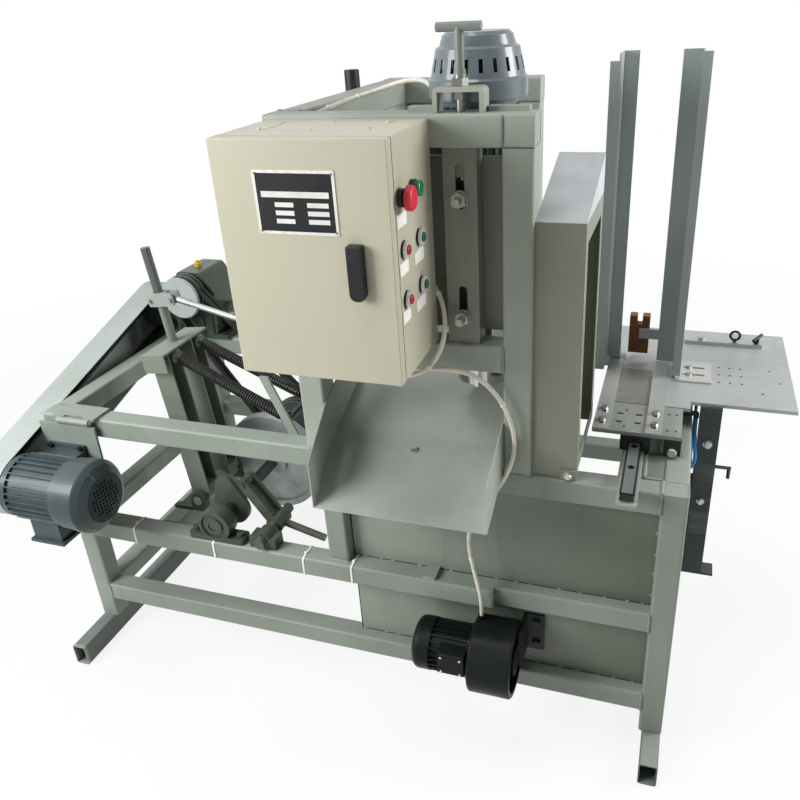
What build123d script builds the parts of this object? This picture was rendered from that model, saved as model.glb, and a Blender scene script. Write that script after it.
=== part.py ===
import os
from math import acos, atan2, cos, degrees, pi, radians, sin, sqrt, tan

from build123d import *

os.makedirs("parts", exist_ok=True)

# Base frame of square tube, centred over its footprint, with the floor at z = 0
base_length = 1500.0
base_depth = 700.0
base_top = 695.0
frame_tube = 50.0
tube_wall = 3.0
tube_corner = 6.0
runner_width = 40.0
runner_height = 60.0
runner_overhang = 128.0
runner_overhang_right = 88.0
lower_rail_z = 145.0
mid_rail_z = 372.0
mid_rail_step = 15.0
mid_step_inset = 411.0
inner_post_inset = 44.0
pivot_tube_offset = 52.0
bearer_y = 535.0
panel_setback = 30.0
panel_sheet = 3.0
tab_inset = 251.0
tab_width = 30.0
tab_height = 9.0

# Tower of heavier square tube on the base, set from the base's right end
tower_tube = 55.0
tower_inset = 789.0
tower_width = 489.0
tower_back_width = 386.0
tower_depth = 660.0
tower_top = 1382.0
window_sill = 970.0

# Vertical spindle motor on its sliding carriage
spindle_inset = 359.0
spindle_setback = 145.0
channel_width = 60.0
channel_depth = 40.0
channel_wall = 4.0
channel_setback = 8.0
stud_size = 14.0
slot_clearance = 1.0
slot_length = 77.0
stud_heights = (1023.0, 1241.0)
slide_down = 10.0
slide_up = 20.0
motor_radius = 66.0
fin_height = 7.0
motor_low = 1080.0
motor_high = 1393.0
cowl_radius = 88.0
screw_size = 16.0
screw_setback = 28.0
screw_clearance = 0.5
handle_length = 75.0
handle_z = 1511.0
bridge_width = 88.0
bridge_height = 40.0
bridge_plate = 8.0
shaft_size = 40.0
cutter_size = 120.0
cutter_height = 60.0

# Discharge chute
chute_front = 138.0
chute_front_z = 646.0
chute_slope = 0.44
chute_reach = 262.0
chute_taper = 19.0
chute_wall = 103.0
sheet = 2.0

# Cutter hood
hood_width = 88.0
hood_depth = 245.0
hood_setback = 10.0
hood_front_z = 1204.0
hood_back_z = 1277.0
hood_bottom_z = 697.0

# Control cabinet
cabinet_inset = 10.0
cabinet_width = 300.0
cabinet_height = 400.0
cabinet_depth = 200.0
cabinet_bottom = 975.0
door_depth = 20.0
cabinet_sheet = 1.5
door_gap = 0.6
button_rows = ((1197.0, -154.0, -79.0), (1114.0, -155.0, -78.0))
button_size = 22.0
bezel_size = 29.0
button_clearance = 0.4
stop_place = (-158.0, 1280.0)
lamp_place = (-103.0, 1283.0)
plate_width = 140.0
plate_height = 100.5
plate_inset = 143.5
plate_z = 1278.0
latch_inset = 239.0
latch_z = 1171.0
latch_width = 27.0
latch_height = 91.0
latch_bore = 8.0

# Magazine feed, set from the base's right end
rail_inset = 112.0
rail_width = 28.0
rail_height = 26.0
rail_length = 518.0
block_width = 60.0
block_length = 98.0
block_clearance = 0.3
carriage_inset = 199.0
carriage_width = 176.0
carriage_front = 130.0
carriage_depth = 124.0
carriage_plate = 8.0
carriage_z = 740.0
feed_stroke = 120.0
strip_width = 33.0
strip_plate = 4.0
strip_length = 350.0
slide_gap = 0.5
table_overhang = 205.0
table_back = 696.0
table_plate = 8.0
post_front = 400.0
post_back = 480.0
post_top = 1440.0
post_sheet = 3.0
post_left_inset = 209.0
post_right_inset = 50.0
cylinder_size = 34.0

# Belt drive motor hung on a hinged plate at the base's left end
motor_y = -105.0
motor_z = 556.0
hinge_y = -12.0
hinge_z = 690.0
barrel_size = 18.0
hinge_pin = 10.0
pin_clearance = 0.1
hinge_inset = 56.0
hinge_length = 90.0
hanger_plate = 6.0
guard_gap = 7.0
guard_width = 75.0
guard_sheet = 2.0
guard_margin = 22.0
drive_radius = 45.0
worm_radius = 55.0
worm_y = 560.0
worm_z = 753.0
belt_width = 12.4
belt_depth = 9.0
belt_gap = 0.3
belt_pitch = 18.0

# Camshaft, follower and swing arm, set from the tower's left side
cam_reach = 277.0
cam_z = 440.0
cam_shaft = 30.0
cam_base = 48.0
cam_nose = 88.0
cam_nose_size = 25.0
cam_nose_angle = 100.0
cam_y = 74.0
cam_plate = 12.0
wheel_radius = 140.0
wheel_y = 285.0
wheel_plate = 30.0
cam_pulley_radius = 100.0
out_radius = 60.0
out_inset = 116.0
out_z = 833.0
out_y = 452.0
pulley_width = 40.0
bearing_clearance = 0.05
lever_reach = 151.0
lever_z = 420.0
lever_shaft = 26.0
roller_reach = 72.0
roller_z = 525.0
roller_radius = 12.0
arm_reach = 386.0
arm_z = 430.0
arm_lean = 6.0
arm_height = 400.0
arm_post = 45.0
arm_front = 110.0
arm_back = 252.0
arm_sheet = 4.0
stroke_rod = 22.0
stroke_rod_length = 235.0
clamp_height = 110.0
pull_rod_length = 420.0
pull_rod_size = 14.0
pull_rod_drop = 14.0
spring_wire = 5.0
spring_radius = 11.0
spring_turns = 46
spring_plug = 8.0
anchor_reach = 73.0
anchor_z = 722.0

# Gear motor under the middle rail
gear_y = -56.0
gear_z = 258.0
gear_case_radius = 83.0
gear_case_inset = 380.0
gear_case_length = 93.0
gear_cowl_length = 133.0

# Cables and hose
cable_size = 9.0
gland_clearance = 0.3
hose_size = 8.0

front = -base_depth / 2
back = base_depth / 2
half = frame_tube / 2
end_x = base_length / 2
top_z = base_top - half
mid_low = mid_rail_z - half
mid_top = mid_rail_z + half
tower_left = end_x - tower_inset
tower_right = tower_left + tower_width
rear_right = tower_left + tower_back_width
inner_post_x = tower_left + inner_post_inset
mid_step_x = tower_left + mid_step_inset
spindle_x = tower_left + spindle_inset
cabinet_left = tower_left + cabinet_inset
cam_x = tower_left - cam_reach
lever_x = tower_left - lever_reach
roller_x = lever_x - roller_reach
arm_x = tower_left - arm_reach
pivot_tube_x = arm_x - pivot_tube_offset
anchor_x = tower_left - anchor_reach
gear_case_left = tower_left + gear_case_inset
gear_case_right = gear_case_left + gear_case_length
gear_cowl_left = gear_case_left - gear_cowl_length
rail_x = end_x - rail_inset
carriage_left = end_x - carriage_inset
table_right = end_x + table_overhang
post_left_x = end_x - post_left_inset
post_right_x = end_x - post_right_inset
guard_open_x = -end_x - guard_gap
hinge_left = -end_x + hinge_inset
out_x = -end_x + out_inset
tower_back = front + tower_depth
solids_made = {}


def put(name, *shapes):
    solids = [solid for shape in shapes for solid in shape.solids()]
    node = solids[0] if len(solids) == 1 else Compound(children=solids)
    node.label = name
    solids_made[name] = node
    export_step(node, f"parts/{name}.step")


def block(x0, x1, y0, y1, z0, z1):
    return Pos((x0 + x1) / 2, (y0 + y1) / 2, (z0 + z1) / 2) * Box(x1 - x0, y1 - y0, z1 - z0)


def rod(start, end, radius):
    axis = Vector(*end) - Vector(*start)
    return extrude(Plane(start, z_dir=axis) * Circle(radius), amount=axis.length)


def ring(start, end, outer, inner):
    axis = Vector(*end) - Vector(*start)
    return extrude(Plane(start, z_dir=axis) * (Circle(outer) - Circle(inner)), amount=axis.length)


def tube_section(width, height):
    inner = RectangleRounded(width - 2 * tube_wall, height - 2 * tube_wall, tube_corner - tube_wall)
    return RectangleRounded(width, height, tube_corner) - inner


def tube_x(x0, x1, y, z, width=frame_tube, height=frame_tube):
    plane = Plane((x0, y, z), x_dir=(0, 1, 0), z_dir=(1, 0, 0))
    return extrude(plane * tube_section(width, height), amount=x1 - x0)


def tube_y(y0, y1, x, z, width=frame_tube, height=frame_tube):
    plane = Plane((x, y0, z), x_dir=(1, 0, 0), z_dir=(0, 1, 0))
    return extrude(plane * tube_section(width, height), amount=y1 - y0)


def tube_z(z0, z1, x, y, width=frame_tube):
    return extrude(Plane((x, y, z0)) * tube_section(width, width), amount=z1 - z0)


def side_profile(x0, x1, outline):
    # A closed outline given as (y, z) points, extruded along the machine's length
    face = make_face(Polyline(*[(x0, y, z) for y, z in outline], close=True))
    return extrude(face, amount=x1 - x0, dir=(1, 0, 0))


def front_profile(y0, y1, outline):
    # A closed outline given as (x, z) points, extruded from front to back
    face = make_face(Polyline(*[(x, y0, z) for x, z in outline], close=True))
    return extrude(face, amount=y1 - y0, dir=(0, 1, 0))


def hex_head(center, direction, size, height):
    flat = RegularPolygon(size / 2, 6, major_radius=False)
    return extrude(Plane(center, z_dir=direction) * flat, amount=height)


def bolt(center, direction, size, washer=True):
    # Head and washer standing on a surface, with the washer first
    axis = Vector(*direction).normalized()
    seat = Vector(*center)
    washer_height = 0.15 * size if washer else 0.0
    head = hex_head(seat + axis * washer_height, axis, 1.6 * size, 0.65 * size)
    if not washer:
        return [head]
    return [extrude(Plane(seat, z_dir=axis) * Circle(1.1 * size), amount=washer_height) + head]


def finned_body(start, end, core, fin_tip, fins, fin_width):
    axis = Vector(*end) - Vector(*start)
    fin = Rectangle(fin_tip - core + 6, fin_width)
    outline = Circle(core) + PolarLocations((fin_tip + core - 6) / 2, fins) * fin
    return extrude(Plane(start, z_dir=axis) * outline, amount=axis.length)


def grooved_pulley(radius, width, grooves, bore):
    # Pulley round Z with square-bottomed belt grooves, from z = 0 to its width
    wheel = Cylinder(radius, width, align=(Align.CENTER, Align.CENTER, Align.MIN))
    groove_width = belt_width + 2 * belt_gap
    groove_depth = belt_depth + belt_gap
    for index in range(grooves):
        z = width / 2 + (index - (grooves - 1) / 2) * belt_pitch
        cutter = Circle(radius + 1) - Circle(radius - groove_depth)
        wheel -= extrude(Plane((0, 0, z - groove_width / 2)) * cutter, amount=groove_width)
    return wheel - Cylinder(bore / 2, 3 * width)


def belt_loop(plane, first, first_radius, second, second_radius):
    # One belt round two pulleys, its back flush with their rims
    outer = make_hull((Pos(*first) * Circle(first_radius)).edges() + (Pos(*second) * Circle(second_radius)).edges())
    small_first = Pos(*first) * Circle(first_radius - belt_depth)
    small_second = Pos(*second) * Circle(second_radius - belt_depth)
    inner = make_hull(small_first.edges() + small_second.edges())
    return extrude(plane * (outer - inner), amount=belt_width)


# Base frame: tubes butted and welded, each a piece of its own
frame_tubes = []
for rail_y in (front + half, back - half):
    frame_tubes.append(tube_x(-end_x + frame_tube, end_x - frame_tube, rail_y, lower_rail_z))
    frame_tubes.append(tube_x(-end_x, end_x - frame_tube, rail_y, top_z))
    frame_tubes.append(tube_z(runner_height, mid_low, -end_x + half, rail_y))
    frame_tubes.append(tube_z(runner_height, base_top, end_x - half, rail_y))
    frame_tubes.append(tube_z(mid_top, base_top - frame_tube, inner_post_x, rail_y))
mid_front_y = front + half - mid_rail_step
frame_tubes.append(tube_x(-end_x, mid_step_x, mid_front_y, mid_rail_z))
frame_tubes.append(tube_x(mid_step_x, end_x - frame_tube, front + half, mid_rail_z))
frame_tubes.append(tube_x(-end_x, end_x - frame_tube, back - half, mid_rail_z))
frame_tubes.append(tube_z(mid_top, base_top - frame_tube, -end_x + half, back - half))
for side_x in (-end_x + half, end_x - half):
    frame_tubes.append(tube_y(front + frame_tube, back - frame_tube, side_x, lower_rail_z))
    frame_tubes.append(tube_y(front + frame_tube, back - frame_tube, side_x, top_z))
frame_tubes.append(tube_y(front + frame_tube, back - frame_tube, end_x - half, mid_rail_z))
for cross_x in (-end_x + half, pivot_tube_x):
    frame_tubes.append(tube_y(mid_front_y + half, back - frame_tube, cross_x, mid_rail_z))
for cross_x in (tower_left + half, tower_right - half, rail_x):
    frame_tubes.append(tube_y(front + frame_tube, back - frame_tube, cross_x, top_z))
frame_tubes.append(tube_x(-end_x + frame_tube, tower_left, front + bearer_y, top_z))
frame_tubes.append(tube_x(tower_left + frame_tube, tower_right - frame_tube, back - 1.5 * frame_tube, top_z))
runners = []
for runner_x, overhang in ((-end_x + half - 3, runner_overhang), (end_x - half + 3, runner_overhang_right)):
    runners.append(tube_y(front - overhang, back + runner_overhang, runner_x, runner_height / 2, runner_width, runner_height))
frame_tubes += runners

# Sheet panels: two stitch-welded front panels, the tower's back and a strip of the base's top
panel_left = inner_post_x + half
panel_y = front + panel_setback
panels = [
    block(panel_left, end_x - frame_tube, panel_y, panel_y + panel_sheet, mid_top, base_top - frame_tube),
    block(panel_left, end_x - frame_tube, panel_y, panel_y + panel_sheet, lower_rail_z + half, mid_low),
]
inside_left = tower_left + tower_tube
inside_right = tower_right - tower_tube
panels.append(block(inside_left, rear_right - tower_tube, tower_back - 6, tower_back - 4, base_top, tower_top - tower_tube))
panels.append(block(rail_x + half, end_x - frame_tube, front + frame_tube, back - frame_tube,
                    base_top - panel_sheet, base_top))
put("sheet_panels", *panels)
rail_tab = block(tower_left + tab_inset, tower_left + tab_inset + tab_width, front - 12, panel_y, mid_top, mid_top + tab_height)
frame_tubes.append(fillet(rail_tab.edges().filter_by(Axis.Z).group_by(Axis.Y)[0], 4))

# Tower: four posts with the rear pair closer together, tubes on top, a sill under the window
tower_half = tower_tube / 2
tower_ring_z = tower_top - tower_half
tower_parts = []
post_x = tower_left + tower_half
post_places = [(post_x, front + tower_half), (tower_right - tower_half, front + tower_half),
               (post_x, tower_back - tower_half), (rear_right - tower_half, tower_back - tower_half)]
for place_x, place_y in post_places:
    tower_parts.append(tube_z(base_top, tower_top - tower_tube, place_x, place_y, tower_tube))
tower_parts.append(tube_y(front + tower_tube, tower_back - tower_tube, post_x, tower_ring_z, tower_tube, tower_tube))
screw_y = front + screw_setback
screw_bore = screw_size / 2 + screw_clearance
front_ring = tube_x(tower_left, tower_right, front + tower_half, tower_ring_z, tower_tube, tower_tube)
front_ring -= Pos(spindle_x, screw_y, tower_ring_z) * Cylinder(screw_bore, 2 * tower_tube)
tower_parts.append(front_ring)
tower_parts.append(tube_x(tower_left, rear_right, tower_back - tower_half, tower_ring_z, tower_tube, tower_tube))
sill_z = window_sill - tower_half
tower_parts.append(tube_x(inside_left, inside_right, front + tower_half, sill_z, tower_tube, tower_tube))
stub_x = tower_left - 17
stub = ring((stub_x, front + 455, 1290), (stub_x, front + 455, 1418), 17, 14)
stub += block(tower_left - 4, tower_left, front + 443, front + 467, 1330, 1376)
tower_parts.append(stub)
put("tower_frame", *tower_parts)

# Bridge over the lift screw: flat bar bent to an upturned U
bridge_left = spindle_x - bridge_width / 2
bridge_right = spindle_x + bridge_width / 2
bridge_top = tower_top + bridge_height
bridge = block(bridge_left, bridge_right, front + 10, front + 46, tower_top, bridge_top)
bridge = fillet(bridge.edges().filter_by(Axis.Y).group_by(Axis.Z)[-1], 9)
bridge -= block(bridge_left + bridge_plate, bridge_right - bridge_plate, front, front + 60,
                tower_top - 1, bridge_top - bridge_plate)
bridge -= Pos(spindle_x, screw_y, bridge_top) * Cylinder(screw_bore, 40)
guide_bar = block(spindle_x - 95, bridge_left - 3, front + 30, front + 54, tower_top, tower_top + 8)
guide_bar_right = block(bridge_right + 3, spindle_x + 115, front + 30, front + 54, tower_top, tower_top + 8)
put("screw_bridge", bridge, guide_bar, guide_bar_right)

# Slotted channel in the tower window, between the sill and the top ring
channel_y = front + channel_setback
channel_left = spindle_x - channel_width / 2
channel_right = spindle_x + channel_width / 2
channel = block(channel_left, channel_right, channel_y, channel_y + channel_depth, window_sill, tower_top - tower_tube)
channel -= block(channel_left + channel_wall, channel_right - channel_wall, channel_y + channel_wall,
                 channel_y + channel_depth + 1, window_sill - 1, tower_top)
slot_width = stud_size + 2 * slot_clearance
for stud_z in stud_heights:
    slot_low = stud_z - stud_size / 2 - slot_clearance - slide_down
    slot_z = slot_low + slot_length / 2
    slot_plane = Plane((spindle_x, channel_y - 1, slot_z), x_dir=(0, 0, 1), z_dir=(0, 1, 0))
    channel -= extrude(slot_plane * SlotOverall(slot_length, slot_width), amount=channel_wall + 2)
put("slot_channel", channel)

spindle_y = front + spindle_setback
carriage_y = channel_y + channel_depth + slide_gap

# Clamp studs through the slots, each with a washer and a nut in front
studs = []
for stud_z in stud_heights:
    washer_y = channel_y - slide_gap
    studs.append(rod((spindle_x, front - 26, stud_z), (spindle_x, carriage_y, stud_z), stud_size / 2))
    studs.append(ring((spindle_x, washer_y - 3, stud_z), (spindle_x, washer_y, stud_z), 15, stud_size / 2))
    nut = hex_head((spindle_x, washer_y - 15, stud_z), (0, 1, 0), 24, 12)
    studs.append(nut - Pos(spindle_x, washer_y, stud_z) * Rot(90, 0, 0) * Cylinder(stud_size / 2, 80))
put("clamp_studs", *studs)

# Spindle motor: finned body, lower shield, stepped fan cowl
fins_low = (spindle_x, spindle_y, motor_low + 30)
fins_high = (spindle_x, spindle_y, motor_high - 12)
motor = finned_body(fins_low, fins_high, motor_radius, motor_radius + fin_height, 28, 3)
shield = Pos(spindle_x, spindle_y, motor_low) * Cone(52, motor_radius + 5, 30, align=(Align.CENTER, Align.CENTER, Align.MIN))
motor += shield
box_x = spindle_x - motor_radius - fin_height
terminal_box = block(box_x - 25, box_x + 12, spindle_y - 26, spindle_y + 30, 1280, 1346)
motor += fillet(terminal_box.edges().filter_by(Axis.Z), 4)
motor += rod(fins_high, (spindle_x, spindle_y, motor_high), motor_radius + 4)
box_mid = box_x - 13
for gland_y, gland_low, gland_high in ((spindle_y, 1255, 1281), (spindle_y + 16, 1345, 1357)):
    motor += ring((box_mid, gland_y, gland_low), (box_mid, gland_y, gland_high), 9, cable_size / 2 + gland_clearance)
motor -= Pos(spindle_x, spindle_y, motor_low) * Cylinder(shaft_size / 2 + bearing_clearance, 120)
put("spindle_motor", motor)

# Motor carriage: plate behind the channel with a nut lug for the screw and pads for the motor
lug_top = tower_top - tower_tube - slide_up - 1
carriage = block(spindle_x - 85, spindle_x + 75, carriage_y, carriage_y + 8, 985, lug_top)
lug = block(spindle_x - 20, spindle_x + 20, channel_y + channel_wall + 2, carriage_y, lug_top - 30, lug_top)
carriage += lug
for pad_z in (1110.0, 1250.0):
    carriage += block(spindle_x - 40, spindle_x + 40, carriage_y + 8, spindle_y - motor_radius + 10, pad_z, pad_z + 30)
carriage -= motor
carriage -= Pos(spindle_x, screw_y, 1290) * Cylinder(screw_bore, 80)
put("motor_carriage", carriage)

cowl_profile = [
    (cowl_radius - 4, motor_high),
    (cowl_radius, motor_high),
    (cowl_radius, 1424),
    (cowl_radius - 4, 1428),
    (cowl_radius - 14, 1474),
    (cowl_radius - 21, 1478),
    (cowl_radius - 26, 1494),
    (cowl_radius - 33, 1500),
    (0, 1500),
    (0, 1497),
    (cowl_radius - 36, 1497),
    (cowl_radius - 29, 1491),
    (cowl_radius - 24, 1475),
    (cowl_radius - 17, 1471),
    (cowl_radius - 7, 1426),
    (cowl_radius - 3, 1421),
    (cowl_radius - 3, motor_high + 6),
    (0, motor_high + 6),
    (0, motor_high),
]
cowl_face = make_face(Polyline(*[(r, 0, z) for r, z in cowl_profile], close=True))
cowl = Pos(spindle_x, spindle_y, 0) * revolve(cowl_face, Axis.Z)
for vent in PolarLocations(cowl_radius - 10, 20):
    cowl -= Pos(spindle_x, spindle_y, 1448) * vent * Box(12, 7, 22)
put("fan_cowl", cowl)

# Spindle with its cutter head
spindle_low = 826.0
cutter_z = 840.0
spindle = rod((spindle_x, spindle_y, spindle_low), (spindle_x, spindle_y, motor_low + 58), shaft_size / 2)
put("spindle", spindle)
cutter = Cylinder(cutter_size / 2 - 6, cutter_height, align=(Align.CENTER, Align.CENTER, Align.MIN))
for knife in PolarLocations(cutter_size / 2 - 12, 4):
    cutter += knife * Pos(0, 0, cutter_height / 2) * Box(24, 8, cutter_height)
    cutter -= knife * Pos(4, 12, cutter_height / 2) * Box(22, 16, cutter_height + 2)
cutter -= Cylinder(shaft_size / 2, 4 * cutter_height)
put("cutter_head", Pos(spindle_x, spindle_y, cutter_z) * cutter)

# Lift screw with its T-handle and two collars either side of the bridge
screw = rod((spindle_x, screw_y, stud_heights[1] + stud_size / 2 + slide_up + 2), (spindle_x, screw_y, handle_z), screw_size / 2)
screw += rod((spindle_x - handle_length / 2, screw_y, handle_z), (spindle_x + handle_length / 2, screw_y, handle_z), 7.5)
for collar_low in (bridge_top + slide_gap, bridge_top - bridge_plate - slide_gap - 12):
    screw += hex_head((spindle_x, screw_y, collar_low), (0, 0, 1), 24, 12)
screw += rod((spindle_x, screw_y, bridge_top + slide_gap + 12), (spindle_x, screw_y, bridge_top + 26), 10)
put("lift_screw", screw)

# Discharge chute: sloping trough between the tower's front posts, its left wall drawn in towards the mouth
chute_points = [(front - chute_front, chute_front_z), (front + chute_reach, chute_front_z + chute_slope * (chute_front + chute_reach))]
(chute_y0, chute_z0), (chute_y1, chute_z1) = chute_points
wall_outline = [(chute_y0, chute_z0), (chute_y1, chute_z1), (chute_y1, chute_z1 + chute_wall * 0.4),
                (front + tower_tube, chute_z0 + chute_slope * (chute_front + tower_tube) + chute_wall),
                (chute_y0, chute_z0 + chute_wall)]
taper_step = chute_taper / chute_front
trough_plan = [(inside_left + chute_taper, chute_y0), (inside_right, chute_y0), (inside_right, chute_y1),
               (inside_left, chute_y1), (inside_left, front)]
hollow_plan = [(inside_left + chute_taper + taper_step + sheet, chute_y0 - 1), (inside_right - sheet, chute_y0 - 1),
               (inside_right - sheet, chute_y1 + 1), (inside_left + sheet, chute_y1 + 1), (inside_left + sheet, front)]
hollow_outline = [(chute_y0 - 1, chute_z0 + sheet - chute_slope), (chute_y1 + 1, chute_z1 + sheet + chute_slope),
                  (chute_y1 + 1, chute_z1 + 2 * chute_wall), (chute_y0 - 1, chute_z1 + 2 * chute_wall)]
chute = side_profile(inside_left, inside_right, wall_outline)
chute &= extrude(make_face(Polyline(*[(x, y, 0) for x, y in trough_plan], close=True)), amount=tower_top, dir=(0, 0, 1))
hollow = side_profile(inside_left, inside_right, hollow_outline)
hollow &= extrude(make_face(Polyline(*[(x, y, 0) for x, y in hollow_plan], close=True)), amount=tower_top, dir=(0, 0, 1))
chute -= hollow
put("discharge_chute", chute)

# Cutter hood: folded sheet with a sloping top, its right side open to the work
hood_left = tower_right
hood_right = hood_left + hood_width
hood_y0 = front + hood_setback
hood_y1 = hood_y0 + hood_depth
hood_outline = [(hood_y0, hood_bottom_z), (hood_y1, hood_bottom_z), (hood_y1, hood_back_z), (hood_y0, hood_front_z)]
hood = side_profile(hood_left, hood_right, hood_outline)
hood = fillet(hood.edges().filter_by(Axis.Y).group_by(Axis.Z)[0], 12)
hood_inside = [(hood_y0 + sheet, hood_bottom_z - 1), (hood_y1 - sheet, hood_bottom_z - 1),
               (hood_y1 - sheet, hood_back_z - 2.2 * sheet), (hood_y0 + sheet, hood_front_z - 1.4 * sheet)]
hood -= side_profile(hood_left + sheet, hood_right - sheet, hood_inside)
hood -= block(hood_right - 20, hood_right + 1, hood_y0 + 28, hood_y1 - 28, hood_bottom_z + 40, hood_front_z - 40)
hood_foot = block(hood_right - 32, hood_right, hood_y0 - 4, hood_y0, base_top, base_top + 22)
hood_foot += block(hood_right - 32, hood_right, hood_y0 - 4, hood_y0 + 28, base_top, hood_bottom_z)
put("cutter_hood", hood, hood_foot)

# Control cabinet: body open to the front, lipped door, paddle latch
cabinet_right = cabinet_left + cabinet_width
cabinet_top = cabinet_bottom + cabinet_height
door_y0 = front - cabinet_depth
door_y1 = door_y0 + door_depth
body_y0 = door_y1 + door_gap
cabinet = block(cabinet_left, cabinet_right, body_y0, front, cabinet_bottom, cabinet_top)
cabinet = fillet(cabinet.edges().filter_by(Axis.Y), 3)
cabinet -= block(cabinet_left + cabinet_sheet, cabinet_right - cabinet_sheet, body_y0 - 1, front - cabinet_sheet,
                 cabinet_bottom + cabinet_sheet, cabinet_top - cabinet_sheet)
fixtures = [(y, z, button_size) for z, first, second in button_rows for y in (first, second)]
fixtures += [(stop_place[0], stop_place[1], button_size), (lamp_place[0], lamp_place[1], button_size)]
for place_y, place_z, hole in fixtures:
    cabinet -= Pos(cabinet_right, front + place_y, place_z) * Rot(0, 90, 0) * Cylinder(hole / 2, 20)
gland_places = ((cabinet_right - 91, front - 60), (cabinet_right - 56, front - 42))
for gland_x, gland_y in gland_places:
    cabinet += rod((gland_x, gland_y, cabinet_bottom - 12), (gland_x, gland_y, cabinet_bottom + cabinet_sheet), 10)
    cabinet -= Pos(gland_x, gland_y, cabinet_bottom) * Cylinder(cable_size / 2, 60)
put("cabinet_body", cabinet)

door = block(cabinet_left, cabinet_right, door_y0, door_y1, cabinet_bottom, cabinet_top)
door = fillet(door.edges().filter_by(Axis.Y), 3)
door = fillet(door.faces().sort_by(Axis.Y)[0].edges(), 2)
door -= block(cabinet_left + cabinet_sheet, cabinet_right - cabinet_sheet, door_y0 + cabinet_sheet, door_y1 + 1,
              cabinet_bottom + cabinet_sheet, cabinet_top - cabinet_sheet)
latch_x = cabinet_left + latch_inset
door -= Pos(latch_x, door_y0, latch_z + 30) * Rot(90, 0, 0) * Cylinder(latch_bore, 20)
put("cabinet_door", door)

paddle = Pos(latch_x, door_y0 - 8.2, latch_z) * Box(latch_width, 15, latch_height)
paddle = fillet(paddle.edges().filter_by(Axis.Y).group_by(Axis.Z)[0], 12)
paddle = fillet(paddle.edges().filter_by(Axis.Y).group_by(Axis.Z)[-1], 4)
paddle = fillet(paddle.faces().sort_by(Axis.Y)[0].edges(), 3)
paddle += rod((latch_x, door_y0 - 4, latch_z + 30), (latch_x, door_y0 + 14, latch_z + 30), latch_bore - pin_clearance)
put("door_latch", paddle)

# Bare nameplate with four rivets, and blank label plates by the buttons
plate_x = cabinet_left + plate_inset
plate = Pos(plate_x, door_y0 - 0.6, plate_z) * Box(plate_width, 1.2, plate_height)
plate = fillet(plate.edges().filter_by(Axis.Y), 3)
rivet_x = plate_width / 2 - 5
rivet_z = plate_height / 2 - 5
rivets = [Pos(plate_x + dx, door_y0 - 1.8, plate_z + dz) * Sphere(1.8)
          for dx in (-rivet_x, rivet_x) for dz in (-rivet_z, rivet_z)]
for rivet in rivets:
    plate += rivet
put("nameplate", plate)
labels = []
for place_y, place_z, hole in fixtures[:5]:
    low = place_z - 44 if place_z > 1250 else place_z - 33
    labels.append(block(cabinet_right, cabinet_right + 0.8, front + place_y - 13, front + place_y + 13, low, low + 13))

# Push buttons: bezel rings fixed to the cabinet, buttons travelling in them
bezel_depth = 8.0
bezels = []
for place_y, place_z, hole in fixtures:
    outer = bezel_size / 2
    bore = button_size / 2 - 2.5
    start = (cabinet_right, front + place_y, place_z)
    end = (cabinet_right + bezel_depth, front + place_y, place_z)
    bezel = ring(start, end, outer, bore)
    barrel = ring((cabinet_right - 30, front + place_y, place_z), start, button_size / 2 - pin_clearance, bore)
    bezels.append(bezel + barrel)
put("button_bezels", *bezels[:5], *labels)

button_radius = button_size / 2 - 2.5 - button_clearance
button_names = ("red_button_upper", "green_button_upper", "red_button_lower", "green_button_lower")
for name, (place_y, place_z, hole) in zip(button_names, fixtures):
    face_x = cabinet_right + bezel_depth + 3
    cap = rod((cabinet_right - 24, front + place_y, place_z), (face_x, front + place_y, place_z), button_radius)
    cap = fillet(cap.edges().sort_by(Axis.X)[-1], 1.5)
    put(name, cap)
stop_y = front + stop_place[0]
stop_z = stop_place[1]
stem = rod((cabinet_right - 24, stop_y, stop_z), (cabinet_right + 18, stop_y, stop_z), button_radius)
mushroom = rod((cabinet_right + 13.5, stop_y, stop_z), (cabinet_right + 25, stop_y, stop_z), 20)
mushroom = fillet(mushroom.edges().sort_by(Axis.X)[-1], 6)
put("stop_button", stem + mushroom)
lamp = rod((cabinet_right - 24, front + lamp_place[0], lamp_place[1]),
           (cabinet_right + 14, front + lamp_place[0], lamp_place[1]), button_size / 2 - 2.5)
lamp += rod((cabinet_right + bezel_depth, front + lamp_place[0], lamp_place[1]),
            (cabinet_right + 18, front + lamp_place[0], lamp_place[1]), 13)
lamp = fillet(lamp.edges().sort_by(Axis.X)[-1], 3)
put("lamp_lens", lamp, bezels[5])

# Linear rail with its waist, and the block that runs on it
rail_top = base_top + rail_height
waist = rail_width / 2 - 4
rail_outline = [(rail_x - rail_width / 2, base_top), (rail_x + rail_width / 2, base_top),
                (rail_x + rail_width / 2, base_top + 9), (rail_x + waist, base_top + 13),
                (rail_x + waist, base_top + 18), (rail_x + rail_width / 2, base_top + 22),
                (rail_x + rail_width / 2, rail_top), (rail_x - rail_width / 2, rail_top),
                (rail_x - rail_width / 2, base_top + 22), (rail_x - waist, base_top + 18),
                (rail_x - waist, base_top + 13), (rail_x - rail_width / 2, base_top + 9)]
rail = front_profile(front + 2, front + 2 + rail_length, rail_outline)
for hole_y in range(int((rail_length - 80) // 80) + 1):
    rail -= Pos(rail_x, front + 42 + 80 * hole_y, rail_top) * Cylinder(7, 12)
put("linear_rail", rail)

block_y0 = front + carriage_front + 5
rail_block = block(rail_x - block_width / 2, rail_x + block_width / 2, block_y0, block_y0 + block_length,
                   base_top + 7, carriage_z)
groove = [(x + (block_clearance if x > rail_x else -block_clearance), z) for x, z in rail_outline]
groove = [(x, z + (block_clearance if z > base_top + 20 else -block_clearance)) for x, z in groove]
rail_block -= front_profile(front, back, groove)
put("rail_block", rail_block)

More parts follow.
